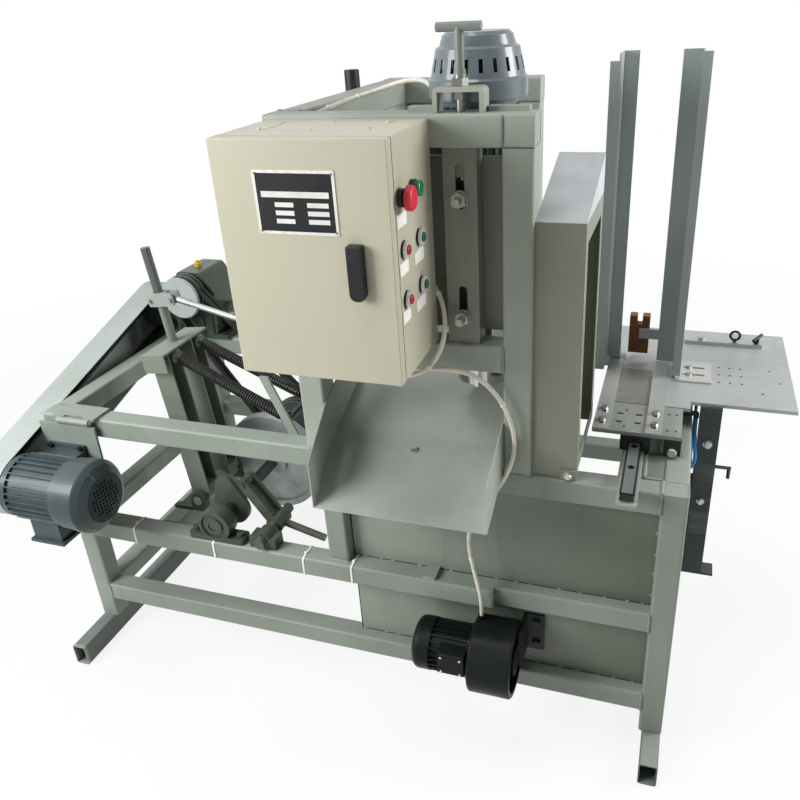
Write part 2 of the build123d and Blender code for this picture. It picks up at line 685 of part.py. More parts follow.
# Carriage plate with two pusher strips bolted on through slots
plate_y0 = front + carriage_front
plate_y1 = plate_y0 + carriage_depth
plate_top = carriage_z + carriage_plate
feed_plate = block(carriage_left, carriage_left + carriage_width, plate_y0, plate_y1, carriage_z, plate_top)
strip_lefts = (carriage_left, carriage_left + 105)
for hole_x in (carriage_left + 62, carriage_left + 148, carriage_left + 164):
    for hole_y in (plate_y0 + 22, plate_y0 + 92):
        feed_plate -= Pos(hole_x, hole_y, plate_top) * Cylinder(3, 40)
for hole_x in (carriage_left + 50, carriage_left + 88):
    for hole_y in (plate_y0 + 40, plate_y0 + 76):
        slot = extrude(Plane((hole_x, hole_y, carriage_z - 1)) * SlotOverall(14, 7), amount=carriage_plate + 2)
        feed_plate -= slot
strips = []
strip_bolts = []
for strip_left in strip_lefts:
    strip_y0 = plate_y0 - 3
    strip = block(strip_left, strip_left + strip_width, strip_y0, strip_y0 + strip_length, plate_top, plate_top + strip_plate)
    for bolt_y in (plate_y0 + 32, plate_y0 + 82):
        slot_plane = Plane((strip_left + strip_width / 2, bolt_y, plate_top - 1), x_dir=(0, 1, 0), z_dir=(0, 0, 1))
        strip -= extrude(slot_plane * SlotOverall(30, 9), amount=strip_plate + 2)
        bolt_place = (strip_left + strip_width / 2, bolt_y, plate_top + strip_plate)
        strip_bolts.append(bolt(bolt_place, (0, 0, 1), 8)[0] + rod((bolt_place[0], bolt_y, plate_top), bolt_place, 4))
    strips.append(strip)
put("carriage_plate", feed_plate, *strips)
put("strip_bolts", *strip_bolts)

# Air cylinder beside the rail, its rod pulling the carriage plate
cyl_x = carriage_left + 160
cyl_z = base_top + cylinder_size / 2
cyl_y0 = plate_y1 + 40
air_cylinder = block(cyl_x - cylinder_size / 2, cyl_x + cylinder_size / 2, cyl_y0, cyl_y0 + 230, base_top, base_top + cylinder_size)
air_cylinder = fillet(air_cylinder.edges().filter_by(Axis.Y), 4)
rod_radius = 6.0
air_cylinder -= rod((cyl_x, cyl_y0 - 1, cyl_z), (cyl_x, cyl_y0 + 215, cyl_z), rod_radius + bearing_clearance)
elbow_x = end_x + 7
elbow_z = cyl_z - 10
for port_y in (cyl_y0 + 12, cyl_y0 + 72):
    elbow = rod((cyl_x + cylinder_size / 2 - 2, port_y, cyl_z), (elbow_x, port_y, cyl_z), 5.5)
    elbow += Pos(elbow_x, port_y, cyl_z) * Sphere(5.5)
    elbow += rod((elbow_x, port_y, cyl_z), (elbow_x, port_y, elbow_z), 5.5)
    air_cylinder += elbow
put("air_cylinder", air_cylinder)
piston_rod = rod((cyl_x, plate_y0 + 12, cyl_z), (cyl_x, cyl_y0 + 60 + feed_stroke, cyl_z), rod_radius)
rod_lug = block(cyl_x - 17, cyl_x + 17, plate_y0 + 6, plate_y0 + 26, base_top + 5, carriage_z)
rod_nut = rod((cyl_x, plate_y0 - 6, cyl_z), (cyl_x, plate_y0 + 6, cyl_z), 10)
rod_nut = chamfer(rod_nut.edges().sort_by(Axis.Y)[0], 2)
put("piston_rod", piston_rod + rod_lug + rod_nut)

# Feed table: one plate, set back on its right half, with slots and holes
table_top = plate_top - slide_gap
table_low = table_top - table_plate
table_y0 = plate_y1 + 4
table = block(carriage_left, table_right, table_y0, front + table_back, table_low, table_top)
table -= block(carriage_left + 191, table_right + 1, table_y0 - 1, table_y0 + 33, table_low - 1, table_top + 1)
hole_field = [(50 + 24 * i, 400 + 40 * j) for i in range(3) for j in range(3)] + [(160, 480), (180, 420), (140, 360)]
for hole_x, hole_y in hole_field:
    table -= Pos(end_x + hole_x, front + hole_y, table_low) * Cylinder(3.2, 40)
put("feed_table", table)

# Column that carries the table from the base's right side, with two clamp levers
column_y = front + 305
column_x0 = end_x + 14
column = block(column_x0, column_x0 + 44, column_y - 20, column_y + 20, 298, table_low)
column -= block(column_x0 + 4, column_x0 + 45, column_y - 16, column_y + 16, 297, table_low - 12)
foot = block(column_x0 - 4, column_x0 + 70, column_y - 20, column_y + 20, 292, 298)
spacers = [block(end_x, column_x0, column_y - 16, column_y + 16, z - 14, z + 14) for z in (372, 535)]
levers = []
for lever_z_level, reach in ((586, 78), (448, 40)):
    start = (column_x0 + 4, column_y - 4, lever_z_level)
    shaft = rod(start, (column_x0 + reach, column_y - 4, lever_z_level), 4)
    handle = rod((column_x0 + reach - 4, column_y - 4, lever_z_level), (column_x0 + reach - 4, column_y - 4, lever_z_level - 26), 4)
    levers.append(shaft + handle + hex_head(start, (1, 0, 0), 16, 8))
rests = [block(end_x - 45, end_x - 5, front + y, front + y + 40, base_top, table_low) for y in (540, 630)]
rest_y = front + 2 + rail_length + 40
rests.append(block(rail_x - 22, rail_x + 22, rest_y, rest_y + 40, base_top, table_low))
put("table_column", column, foot, *spacers, *rests, *levers)

# Magazine: two Z-section posts facing each other, on an angle foot and a slotted foot
post_y0 = front + post_front
post_y1 = front + post_back
post_low = plate_top + strip_plate + 2
web_left = block(post_left_x, post_left_x + post_sheet, post_y0, post_y1, post_low, post_top)
lip_left = block(post_left_x - 18, post_left_x + post_sheet, post_y0, post_y0 + post_sheet, post_low, post_top - 14)
flange_left = block(post_left_x, post_left_x + 33, post_y1 - post_sheet, post_y1, post_low, post_top)
magazine_left = web_left + lip_left + flange_left
magazine_left += block(carriage_left, post_left_x + 33, post_y1, post_y1 + 6, table_top, post_low + 46)
magazine_left += block(carriage_left, post_left_x + 45, post_y1, post_y1 + 40, table_top, table_top + 4)
put("magazine_left", magazine_left)
web_right = block(post_right_x - post_sheet, post_right_x, post_y0, post_y1, post_low, post_top)
lip_right = block(post_right_x - post_sheet, post_right_x + 15, post_y0, post_y0 + post_sheet, post_low, post_top)
flange_right = block(post_right_x - 41, post_right_x, post_y1 - post_sheet, post_y1, post_low, post_top)
magazine_right = web_right + lip_right + flange_right
foot_right = block(post_right_x + 4, post_right_x + 83, post_y0 - 16, post_y0 + 94, table_top, table_top + 4)
for slot_y in (post_y0 + 20, post_y0 + 58):
    slot = extrude(Plane((post_right_x + 46, slot_y, table_top - 1)) * SlotOverall(46, 8), amount=8)
    foot_right -= slot
foot_right += block(post_right_x, post_right_x + 4, post_y0 + post_sheet + 1, post_y0 + 94, table_top, table_top + 46)
foot_bolts = []
for slot_y in (post_y0 + 20, post_y0 + 58):
    place = (post_right_x + 34, slot_y, table_top + 4)
    foot_bolts.append(bolt(place, (0, 0, 1), 7)[0] + rod((place[0], slot_y, table_top), place, 3.4))

# Presser: flat arm behind the right post with a notched block on its end
arm_y = post_y1
presser_arm = block(rail_x - 24, post_right_x, arm_y, arm_y + 6, 806, 830)
put("magazine_right", magazine_right, foot_right, presser_arm)
presser_x0 = rail_x - 47
presser = block(presser_x0, presser_x0 + 46, arm_y + 6, arm_y + 31, 766, 860)
presser -= block(presser_x0 + 17, presser_x0 + 29, arm_y, arm_y + 40, 838, 870)
put("presser_block", presser)

# Clamp bar on the table's back edge with a hook bolt and a lever
bar_y = front + 605
hook_x = end_x + 88
lever_stem_x = end_x + 138
clamp_bar = block(end_x - 28, end_x + 152, bar_y, bar_y + 26, table_top, table_top + 10)
clamp_bar = fillet(clamp_bar.edges().filter_by(Axis.Z), 3)
hook_ring = Pos(hook_x, bar_y + 13, table_top + 26) * Rot(90, 0, 0) * Torus(11, 3)
hook_stem = rod((hook_x, bar_y + 13, table_top + 10), (hook_x, bar_y + 13, table_top + 16), 4)
lever_stem = rod((lever_stem_x, bar_y + 13, table_top + 10), (lever_stem_x, bar_y + 13, table_top + 22), 6)
lever_arm = rod((lever_stem_x - 8, bar_y + 1, table_top + 20), (lever_stem_x + 12, bar_y + 31, table_top + 26), 4)
bar_bolt = bolt((end_x + 10, bar_y + 13, table_top + 10), (0, 0, 1), 8)[0]
put("clamp_bar", clamp_bar + hook_ring + hook_stem + lever_stem + lever_arm, bar_bolt)

# Motor hinge: leaf on the top rail, outer knuckles and the pin through them
axis_y = front + hinge_y
barrel = barrel_size / 2
knuckle = hinge_length * 0.2
leaf = block(hinge_left - 14, hinge_left + hinge_length + 14, axis_y, front + 48, base_top, base_top + 6)
leaf += block(hinge_left, hinge_left + hinge_length, axis_y, front, hinge_z, base_top)
leaf -= rod((hinge_left + knuckle, axis_y, hinge_z), (hinge_left + hinge_length - knuckle, axis_y, hinge_z), barrel + 1)
leaf -= block(hinge_left + knuckle, hinge_left + hinge_length - knuckle, axis_y - 1, axis_y + 8, hinge_z - 1, base_top + 7)
for start in (hinge_left, hinge_left + hinge_length - knuckle):
    leaf += rod((start, axis_y, hinge_z), (start + knuckle, axis_y, hinge_z), barrel)
leaf -= rod((hinge_left - 5, axis_y, hinge_z), (hinge_left + hinge_length + 5, axis_y, hinge_z), hinge_pin / 2)
pin = rod((hinge_left - 4, axis_y, hinge_z), (hinge_left + hinge_length + 4, axis_y, hinge_z), hinge_pin / 2)
stop_pad = block(hinge_left + 20, hinge_left + 60, axis_y + hanger_plate / 2, front, hinge_z - barrel - 30, hinge_z - barrel - 8)
put("motor_hinge", leaf, pin, stop_pad)

# Hanger plate under the hinge, with a knuckle round the pin and ribbed feet for the motor
plate_back = axis_y + hanger_plate / 2
plate_front = axis_y - hanger_plate / 2
hanger_low = 470.0
hanger = block(guard_open_x + 5, -end_x + 158, plate_front, plate_back, hanger_low, hinge_z - barrel - 1)
gap = 0.4
middle = rod((hinge_left + knuckle + gap, axis_y, hinge_z), (hinge_left + hinge_length - knuckle - gap, axis_y, hinge_z), barrel)
neck = block(hinge_left + knuckle + gap, hinge_left + hinge_length - knuckle - gap, plate_front, plate_back,
             hinge_z - barrel - 3, hinge_z)
hanger += middle + neck
hanger -= rod((hinge_left, axis_y, hinge_z), (hinge_left + hinge_length, axis_y, hinge_z), hinge_pin / 2 + pin_clearance)
put("motor_hanger", hanger)

# Belt drive motor: finned body, shields, ribbed feet, terminal box below, perforated fan cowl
motor_axis_y = front + motor_y
shield_left = guard_open_x + 3
fins_left = shield_left + 14
fins_right = -end_x + 138
cowl_right = -end_x + 230
feet_left = -end_x + 14
feet_right = -end_x + 120
drive_motor = finned_body((fins_left, motor_axis_y, motor_z), (fins_right, motor_axis_y, motor_z), 70, 79, 30, 3)
drive_motor += rod((shield_left, motor_axis_y, motor_z), (fins_left, motor_axis_y, motor_z), 76)
drive_motor += rod((fins_right, motor_axis_y, motor_z), (fins_right + 16, motor_axis_y, motor_z), 80)
for foot_z in (498.0, 598.0):
    foot_block = block(feet_left, feet_right, motor_axis_y + 40, plate_front, foot_z, foot_z + 18)
    drive_motor += foot_block
drive_motor += block(feet_left, feet_right, plate_front - 8, plate_front, 486, 628)
box_top = motor_z - 60
drive_motor += block(-end_x + 22, -end_x + 102, motor_axis_y - 38, motor_axis_y + 38, 432, box_top)
drive_motor += block(-end_x + 14, -end_x + 110, motor_axis_y - 45, motor_axis_y + 45, 424, 432)
drive_motor -= rod((shield_left - 1, motor_axis_y, motor_z), (fins_left + 40, motor_axis_y, motor_z), 12 + bearing_clearance)

cowl_left = fins_right + 16
cowl_points = [(cowl_left, 80), (cowl_left, 84), (cowl_right - 26, 86), (cowl_right - 22, 84), (cowl_right - 12, 76),
               (cowl_right, 58), (cowl_right, 0), (cowl_right - 3, 0), (cowl_right - 3, 56), (cowl_right - 14, 73),
               (cowl_right - 26, 82), (cowl_left + 6, 80)]
cowl_face = make_face(Polyline(*[(x, motor_axis_y, motor_z + r) for x, r in cowl_points], close=True))
drive_cowl = revolve(cowl_face, Axis((0, motor_axis_y, motor_z), (1, 0, 0)))
holes = [(9.5 * i, 9.5 * j) for i in range(-4, 5) for j in range(-4, 5) if i * i + j * j <= 18]
for dy, dz in holes:
    drive_cowl -= Pos(cowl_right, motor_axis_y + dy, motor_z + dz) * Box(12, 6, 6)
put("drive_motor", drive_motor, drive_cowl)

# Motor pulley and worm pulley inside the guard, axes along X
belt_x = guard_open_x - guard_width / 2
pulley_left = belt_x - pulley_width / 2
drive_wheel = Plane((pulley_left, motor_axis_y, motor_z), x_dir=(0, 1, 0), z_dir=(1, 0, 0)) * grooved_pulley(drive_radius, pulley_width, 2, 23)
drive_shaft = rod((pulley_left, motor_axis_y, motor_z), (fins_left + 30, motor_axis_y, motor_z), 12)
put("drive_pulley", drive_wheel + drive_shaft)
worm_axis_y = front + worm_y
worm_wheel = Plane((pulley_left, worm_axis_y, worm_z), x_dir=(0, 1, 0), z_dir=(1, 0, 0)) * grooved_pulley(worm_radius, pulley_width, 2, 21)
worm_shaft = rod((pulley_left, worm_axis_y, worm_z), (out_x + 34, worm_axis_y, worm_z), 11)
put("worm_pulley", worm_wheel + worm_shaft)

# Long belt guard: back sheet and rim round both pulleys, open towards the machine
guard_plane = Plane((guard_open_x - guard_width, 0, 0), x_dir=(0, 1, 0), z_dir=(1, 0, 0))
low_place = (motor_axis_y, motor_z)
high_place = (worm_axis_y, worm_z)
guard_low = drive_radius + guard_margin + 9
guard_high = worm_radius + guard_margin
guard_outer = make_hull((Pos(*low_place) * Circle(guard_low)).edges() + (Pos(*high_place) * Circle(guard_high)).edges())
inner_low = Pos(*low_place) * Circle(guard_low - guard_sheet)
inner_high = Pos(*high_place) * Circle(guard_high - guard_sheet)
guard_inner = make_hull(inner_low.edges() + inner_high.edges())
guard = extrude(guard_plane * guard_outer, amount=guard_width)
guard -= extrude(guard_plane * Pos(0, 0, guard_sheet) * guard_inner, amount=guard_width)
stay_top = worm_z - guard_high
guard += block(guard_open_x - 30, -end_x, worm_axis_y - 15, worm_axis_y + 15, stay_top - 8, stay_top + guard_sheet / 2)
guard += block(guard_open_x - 30, -end_x, front + 25, front + 45, base_top - 27, base_top - 19)
put("belt_guard", guard)

# V-belts: two from the motor to the worm, two from the reducer to the camshaft
belts = []
for index in (0, 1):
    belt_start = belt_x + (index - 0.5) * belt_pitch - belt_width / 2
    belt_plane = Plane((belt_start, 0, 0), x_dir=(0, 1, 0), z_dir=(1, 0, 0))
    belts.append(belt_loop(belt_plane, low_place, drive_radius, high_place, worm_radius))
pulley_y = front + out_y
cam_belts = []
for index in (0, 1):
    belt_y = pulley_y + pulley_width / 2 + (index - 0.5) * belt_pitch + belt_width / 2
    belt_plane = Plane((0, belt_y, 0), x_dir=(1, 0, 0), z_dir=(0, -1, 0))
    cam_belts.append(belt_loop(belt_plane, (out_x, out_z), out_radius, (cam_x, cam_z), cam_pulley_radius))
put("v_belts", *belts, *cam_belts)

# Worm reducer: chamfered casting, worm barrel, round cover and foot flange
case_y0 = pulley_y + pulley_width + 8
case_y1 = case_y0 + 124
case_outline = [(-60, base_top + 14), (68, base_top + 14), (78, 780), (78, 838), (40, 893), (-30, 893), (-68, 838), (-68, 780)]
case_outline = [(out_x + x, z) for x, z in case_outline]
reducer = front_profile(case_y0, case_y1, case_outline)
reducer = fillet(reducer.edges().filter_by(Axis.Y), 12)
reducer += block(out_x - 100, out_x + 100, case_y0 - 2, case_y1 + 8, base_top, base_top + 14)
reducer += rod((out_x - 118, worm_axis_y, worm_z), (out_x + 114, worm_axis_y, worm_z), 36)
reducer += rod((out_x, case_y0 - 5, out_z), (out_x, case_y0, out_z), 52)
for rib_x in (out_x - 52, out_x - 22, out_x + 26, out_x + 56):
    reducer += block(rib_x - 3, rib_x + 3, case_y0 - 4, case_y0, base_top + 14, 775)
reducer -= rod((out_x - 126, worm_axis_y, worm_z), (out_x + 44, worm_axis_y, worm_z), 11 + bearing_clearance)
reducer -= rod((out_x, case_y0 - 10, out_z), (out_x, case_y0 + 60, out_z), 15 + bearing_clearance)
reducer -= Pos(out_x, worm_axis_y, 896) * Cylinder(8, 16)
plug = rod((out_x, worm_axis_y, 888), (out_x, worm_axis_y, 897), 8)
plug += hex_head((out_x, worm_axis_y, 893), (0, 0, 1), 22, 9)
plug += rod((out_x, worm_axis_y, 901), (out_x, worm_axis_y, 909), 6)
put("worm_reducer", reducer, plug)

# Output pulley with its disc face, on the reducer's slow shaft
turn_to_front = Plane((out_x, pulley_y + pulley_width, out_z), x_dir=(1, 0, 0), z_dir=(0, -1, 0))
out_wheel = turn_to_front * grooved_pulley(out_radius, pulley_width, 2, 29)
out_wheel += rod((out_x, pulley_y - 4, out_z), (out_x, case_y0 + 55, out_z), 15)
out_wheel += rod((out_x, pulley_y - 4, out_z), (out_x, pulley_y, out_z), out_radius - 3)
put("output_pulley", out_wheel)

# Camshaft with cam, wheel and belt pulley keyed on, each a piece of its own
shaft = rod((cam_x, front - 8, cam_z), (cam_x, back - 4, cam_z), cam_shaft / 2)
nose_reach = cam_nose - cam_nose_size
nose_x = cam_x + nose_reach * cos(radians(cam_nose_angle))
nose_z = cam_z + nose_reach * sin(radians(cam_nose_angle))
cam_plane = Plane((0, front + cam_y + cam_plate, 0), x_dir=(1, 0, 0), z_dir=(0, -1, 0))
cam_outline = make_hull((Pos(cam_x, cam_z) * Circle(cam_base)).edges() + (Pos(nose_x, nose_z) * Circle(cam_nose_size)).edges())
cam = extrude(cam_plane * cam_outline, amount=cam_plate)
cam += rod((cam_x, front + cam_y + cam_plate, cam_z), (cam_x, front + cam_y + cam_plate + 20, cam_z), 27)
cam -= rod((cam_x, front, cam_z), (cam_x, back, cam_z), cam_shaft / 2)
wheel = rod((cam_x, front + wheel_y, cam_z), (cam_x, front + wheel_y + wheel_plate, cam_z), wheel_radius)
wheel -= ring((cam_x, front + wheel_y - 1, cam_z), (cam_x, front + wheel_y + 8, cam_z), wheel_radius - 16, 40)
wheel -= ring((cam_x, front + wheel_y + wheel_plate - 8, cam_z), (cam_x, front + wheel_y + wheel_plate + 1, cam_z), wheel_radius - 16, 40)
wheel -= rod((cam_x, front, cam_z), (cam_x, back, cam_z), cam_shaft / 2)
cam_front = Plane((cam_x, pulley_y + pulley_width, cam_z), x_dir=(1, 0, 0), z_dir=(0, -1, 0))
cam_pulley = cam_front * grooved_pulley(cam_pulley_radius, pulley_width, 2, cam_shaft)
put("camshaft", shaft, cam, wheel, cam_pulley)

# Pillow blocks: the camshaft's two on the middle rails
pillows = []
for pillow_y in (front - mid_rail_step + 4, back - frame_tube + 5):
    base_block = block(cam_x - 75, cam_x + 75, pillow_y, pillow_y + 40, mid_top, mid_top + 15)
    base_block = fillet(base_block.edges().filter_by(Axis.Z), 8)
    dome = rod((cam_x, pillow_y + 1, cam_z), (cam_x, pillow_y + 39, cam_z), 42)
    dome -= block(cam_x - 60, cam_x + 60, pillow_y, pillow_y + 40, mid_top - 20, mid_top)
    pillow = base_block + dome
    pillow -= ring((cam_x, pillow_y - 1, cam_z), (cam_x, pillow_y + 5, cam_z), 34, 22)
    pillow -= rod((cam_x, pillow_y - 2, cam_z), (cam_x, pillow_y + 50, cam_z), cam_shaft / 2 + bearing_clearance)
    for bolt_x in (cam_x - 60, cam_x + 60):
        pillow += bolt((bolt_x, pillow_y + 20, mid_top + 15), (0, 0, 1), 12)[0]
    pillows.append(pillow)

# Follower lever: forked arm with a roller over the cam, a second arm to the right
hub_y0 = front + cam_y - 18
hub_y1 = front + cam_y + cam_plate + 18
lever_block_y0 = front - 6
lever_block = block(lever_x - 34, lever_x + 34, lever_block_y0, lever_block_y0 + 38, mid_top, lever_z + 6)
lever_block += rod((lever_x, lever_block_y0, lever_z), (lever_x, lever_block_y0 + 38, lever_z), 21)
lever_block -= rod((lever_x, front - 50, lever_z), (lever_x, front + 60, lever_z), lever_shaft / 2 + bearing_clearance)
put("pillow_blocks", *pillows, lever_block)
lever_length = sqrt((roller_x - lever_x) ** 2 + (roller_z - lever_z) ** 2)
lever_angle = degrees(atan2(roller_z - lever_z, roller_x - lever_x))
lever = rod((lever_x, front - 22, lever_z), (lever_x, hub_y1 + 30, lever_z), lever_shaft / 2)
lever += rod((lever_x, hub_y0, lever_z), (lever_x, hub_y1, lever_z), 22)
for fork_y in (front + cam_y - 16, front + cam_y + cam_plate + 6):
    fork_plane = Plane((lever_x, fork_y + 10, lever_z), x_dir=(1, 0, 0), z_dir=(0, -1, 0)) * Rot(0, 0, lever_angle)
    bar = SlotOverall(lever_length + 26, 26)
    lever += extrude(fork_plane * Pos(lever_length / 2, 0) * bar, amount=10)
lever += rod((roller_x, front + cam_y - 20, roller_z), (roller_x, front + cam_y + cam_plate + 20, roller_z), 6)
second_end = (lever_x + 122, front + cam_y + 6, lever_z - 33)
lever += rod((lever_x, front + cam_y + 6, lever_z), second_end, 9)
roller = ring((roller_x, front + cam_y - 4, roller_z), (roller_x, front + cam_y + cam_plate + 4, roller_z), roller_radius, 6 + bearing_clearance)
put("follower_lever", lever, roller)

# Swing arm: two channel posts on a pivot tube, joined by a top bracket, leaning away from the tower
arm_base = Plane((arm_x, front, arm_z), x_dir=(1, 0, 0), z_dir=(0, 0, 1)) * Rot(0, -arm_lean, 0)
pivot_radius = 12.0
swing = ring((0, arm_front, 0), (0, arm_back, 0), 20, pivot_radius + bearing_clearance)
for post_start in (arm_front, arm_back - arm_post):
    post = block(-26, 26, post_start, post_start + arm_post, 10, arm_height)
    post -= block(-26 + arm_sheet, 30, post_start + arm_sheet, post_start + arm_post - arm_sheet, 30, arm_height + 1)
    post -= rod((0, post_start - 1, 0), (0, post_start + arm_post + 1, 0), 16)
    swing += post
bracket_y0 = arm_front - 22
bracket_y1 = arm_back + 18
bracket = block(-32, 32, bracket_y0, bracket_y1, arm_height, arm_height + 5)
bracket += block(-32, -28, bracket_y0, bracket_y1, arm_height - 40, arm_height)
bracket += block(-32, 32, bracket_y0, bracket_y0 + 4, arm_height - 40, arm_height)
swing += bracket
put_arm = arm_base * swing
rod_y = (arm_front + arm_back) / 2
put("stroke_rod", arm_base * rod((-4, rod_y, arm_height + 5), (-4, rod_y, arm_height + 5 + stroke_rod_length), stroke_rod / 2))

# Pivot shaft in two bearing brackets on the middle cross tube
pivot_brackets = []
for bracket_low in (arm_front - 20, arm_back + 4):
    base_plate = block(pivot_tube_x - half, arm_x + 24, front + bracket_low, front + bracket_low + 16, mid_top, mid_top + 8)
    cheek = block(arm_x - 22, arm_x + 22, front + bracket_low, front + bracket_low + 16, mid_top, arm_z)
    eye = rod((arm_x, front + bracket_low, arm_z), (arm_x, front + bracket_low + 16, arm_z), 22)
    pivot_brackets.append(base_plate + cheek + eye - rod((arm_x, front, arm_z), (arm_x, back, arm_z), pivot_radius))
frame_tubes += pivot_brackets
frame_tubes.append(rod((arm_x, front + arm_front - 24, arm_z), (arm_x, front + arm_back + 24, arm_z), pivot_radius))

# Split clamp on the stroke rod with a clevis pin, and the pull rod hung on it
clamp = block(-24, 46, rod_y - 16, rod_y + 16, clamp_height - 16, clamp_height + 16)
clamp = fillet(clamp.edges().filter_by(Axis.Y), 6)
clamp -= block(-40, -5, rod_y - 2, rod_y + 2, clamp_height - 20, clamp_height + 20)
clamp -= block(21, 60, rod_y - 9, rod_y + 9, clamp_height - 20, clamp_height + 20)
clamp = Pos(-4, 0, arm_height + 5) * clamp
clamp -= rod((-4, rod_y, arm_height), (-4, rod_y, arm_height + 400), stroke_rod / 2)
eye_x = 34.0
eye_z = arm_height + 5 + clamp_height
clamp += rod((eye_x, rod_y - 22, eye_z), (eye_x, rod_y + 22, eye_z), 5)
clamp += rod((-22, rod_y - 24, eye_z), (-22, rod_y + 24, eye_z), 4)
put("rod_clamp", arm_base * clamp)
lean = radians(arm_lean)
eye_place = (arm_x + eye_x * cos(lean) - eye_z * sin(lean), front + rod_y, arm_z + eye_x * sin(lean) + eye_z * cos(lean))
drop = radians(pull_rod_drop)
rod_end = (eye_place[0] + pull_rod_length * cos(drop), eye_place[1], eye_place[2] - pull_rod_length * sin(drop))
neck_end = (eye_place[0] + 46 * cos(drop), eye_place[1], eye_place[2] - 46 * sin(drop))
pull_rod = rod((eye_place[0], eye_place[1] - 7, eye_place[2]), (eye_place[0], eye_place[1] + 7, eye_place[2]), 13)
pull_rod += rod(eye_place, rod_end, 5)
pull_rod += rod((eye_place[0] + 12 * cos(drop), eye_place[1], eye_place[2] - 12 * sin(drop)), neck_end, 8)
pull_rod += rod(neck_end, rod_end, pull_rod_size / 2)
pull_rod -= rod((eye_place[0], eye_place[1] - 20, eye_place[2]), (eye_place[0], eye_place[1] + 20, eye_place[2]), 5 + bearing_clearance)
put("pull_rod", pull_rod)

# Spring anchor: a cross bar behind the top rail on two flat stays
anchor_y0 = front + frame_tube + 2
anchor_y1 = front + 205
spring_anchor = rod((anchor_x, anchor_y0 - 2, anchor_z), (anchor_x, anchor_y1 - 6, anchor_z), 8)
stay_outline = [(anchor_x + 8, base_top), (anchor_x + 30, base_top), (anchor_x - 26, 832), (anchor_x - 48, 832)]
front_stay = front_profile(anchor_y0 - 8, anchor_y0 - 2, stay_outline)
rear_stay = block(anchor_x - 12, tower_left, anchor_y1 - 6, anchor_y1, 650, anchor_z + 10)
frame_tubes += [front_stay, rear_stay]


def biarc(start, start_way, end, end_way):
    # Two arcs that meet smoothly and match both end directions
    chord = end - start
    total = start_way + end_way
    bend = 2 * (1 - start_way.dot(end_way))
    along = chord.dot(total)
    reach = (-along + sqrt(along ** 2 + bend * chord.dot(chord))) / bend
    first = start + start_way * reach
    second = end - end_way * reach
    middle = (first + second) / 2
    return [TangentArc(start, middle, tangent=start_way), TangentArc(middle, end, tangent=second - first)]


def coil_spring(start, end):
    # Open coil between two plugs: turns from quarter-turn biarcs, a straight wire end on each
    axis = end - start
    pitch = (axis.length - 2 * spring_wire) / spring_turns
    plane = Plane(start, z_dir=axis)
    rise = pitch / (2 * pi)
    scale = sqrt(spring_radius ** 2 + rise ** 2)

    def place(turn):
        angle = 2 * pi * turn
        return plane.from_local_coords(Vector(spring_radius * cos(angle), spring_radius * sin(angle), spring_wire + pitch * turn))

    def way(turn):
        angle = 2 * pi * turn
        local = Vector(-spring_radius * sin(angle), spring_radius * cos(angle), rise) / scale
        return plane.from_local_coords(local) - plane.origin

    first_way = way(0)
    last_way = way(spring_turns)
    edges = [Line(place(0) - first_way * spring_wire, place(0))]
    for quarter in range(4 * spring_turns):
        a = quarter / 4
        b = (quarter + 1) / 4
        edges += biarc(place(a), way(a), place(b), way(b))
    edges.append(Line(place(spring_turns), place(spring_turns) + last_way * spring_wire))
    path = Wire(edges)
    section = Plane(place(0) - first_way * spring_wire, z_dir=first_way) * Circle(spring_wire / 2)
    points = [place(step / 24) for step in range(72)]
    nearest = min((points[24] - other).length for other in points[36:])
    print("spring gap between turns", round(nearest - spring_wire, 2))
    return sweep(section, path=path)


def on_arm(x, y, z):
    return Vector(arm_x + x * cos(lean) - z * sin(lean), front + y, arm_z + x * sin(lean) + z * cos(lean))


spring_routes = (
    (on_arm(34, arm_front + 30, arm_height - 22), Vector(anchor_x - 18, front + 74, anchor_z + 2)),
    (on_arm(34, arm_back - 16, arm_height - 22), Vector(anchor_x - 18, front + 178, anchor_z + 2)),
)
springs = []
plugs_on_arm = []
plugs_on_anchor = []
for arm_end, tower_end in spring_routes:
    springs.append(coil_spring(arm_end, tower_end))
    direction = (tower_end - arm_end).normalized()
    arm_plug = rod(arm_end - direction * 12, arm_end + direction * 16, spring_plug)
    arm_plug += rod(arm_end - direction * 12, arm_end - direction * 5.5, spring_radius + 5)
    plugs_on_arm.append(arm_plug)
    anchor_plug = rod(tower_end - direction * 16, tower_end + direction * 12, spring_plug)
    anchor_plug += rod(tower_end + direction * 5.5, tower_end + direction * 12, spring_radius + 4)
    plugs_on_anchor.append(anchor_plug)
put("return_springs", *springs)
for plug in plugs_on_arm:
    put_arm += plug
for plug in plugs_on_anchor:
    spring_anchor += plug
frame_tubes.append(spring_anchor)
put("swing_arm", put_arm)

# Gear motor: round gear case, finned body with terminal box, fan cowl, bracket to the lower panel
gear_axis_y = front + gear_y
case = rod((gear_case_left, gear_axis_y, gear_z), (gear_case_right, gear_axis_y, gear_z), gear_case_radius)
case = fillet(case.edges().filter_by(GeomType.CIRCLE), 5)
case -= rod((gear_case_right - 14, gear_axis_y, gear_z), (gear_case_right + 1, gear_axis_y, gear_z), gear_case_radius - 12)
case += rod((gear_case_right - 15, gear_axis_y, gear_z), (gear_case_right, gear_axis_y, gear_z), 34)
gear_body = finned_body((gear_cowl_left + 41, gear_axis_y, gear_z), (gear_case_left - 8, gear_axis_y, gear_z), 50, 57, 26, 3)
gear_body += rod((gear_case_left - 8, gear_axis_y, gear_z), (gear_case_left, gear_axis_y, gear_z), 62)
gland_x = gear_case_left + 12
gland_top = gear_z + 90
case += rod((gland_x, gear_axis_y + 20, gear_z + 60), (gland_x, gear_axis_y + 20, gland_top), 8)
gear_box = block(gear_case_left - 64, gear_case_left - 6, gear_axis_y - 74, gear_axis_y - 34, gear_z - 8, gear_z + 46)
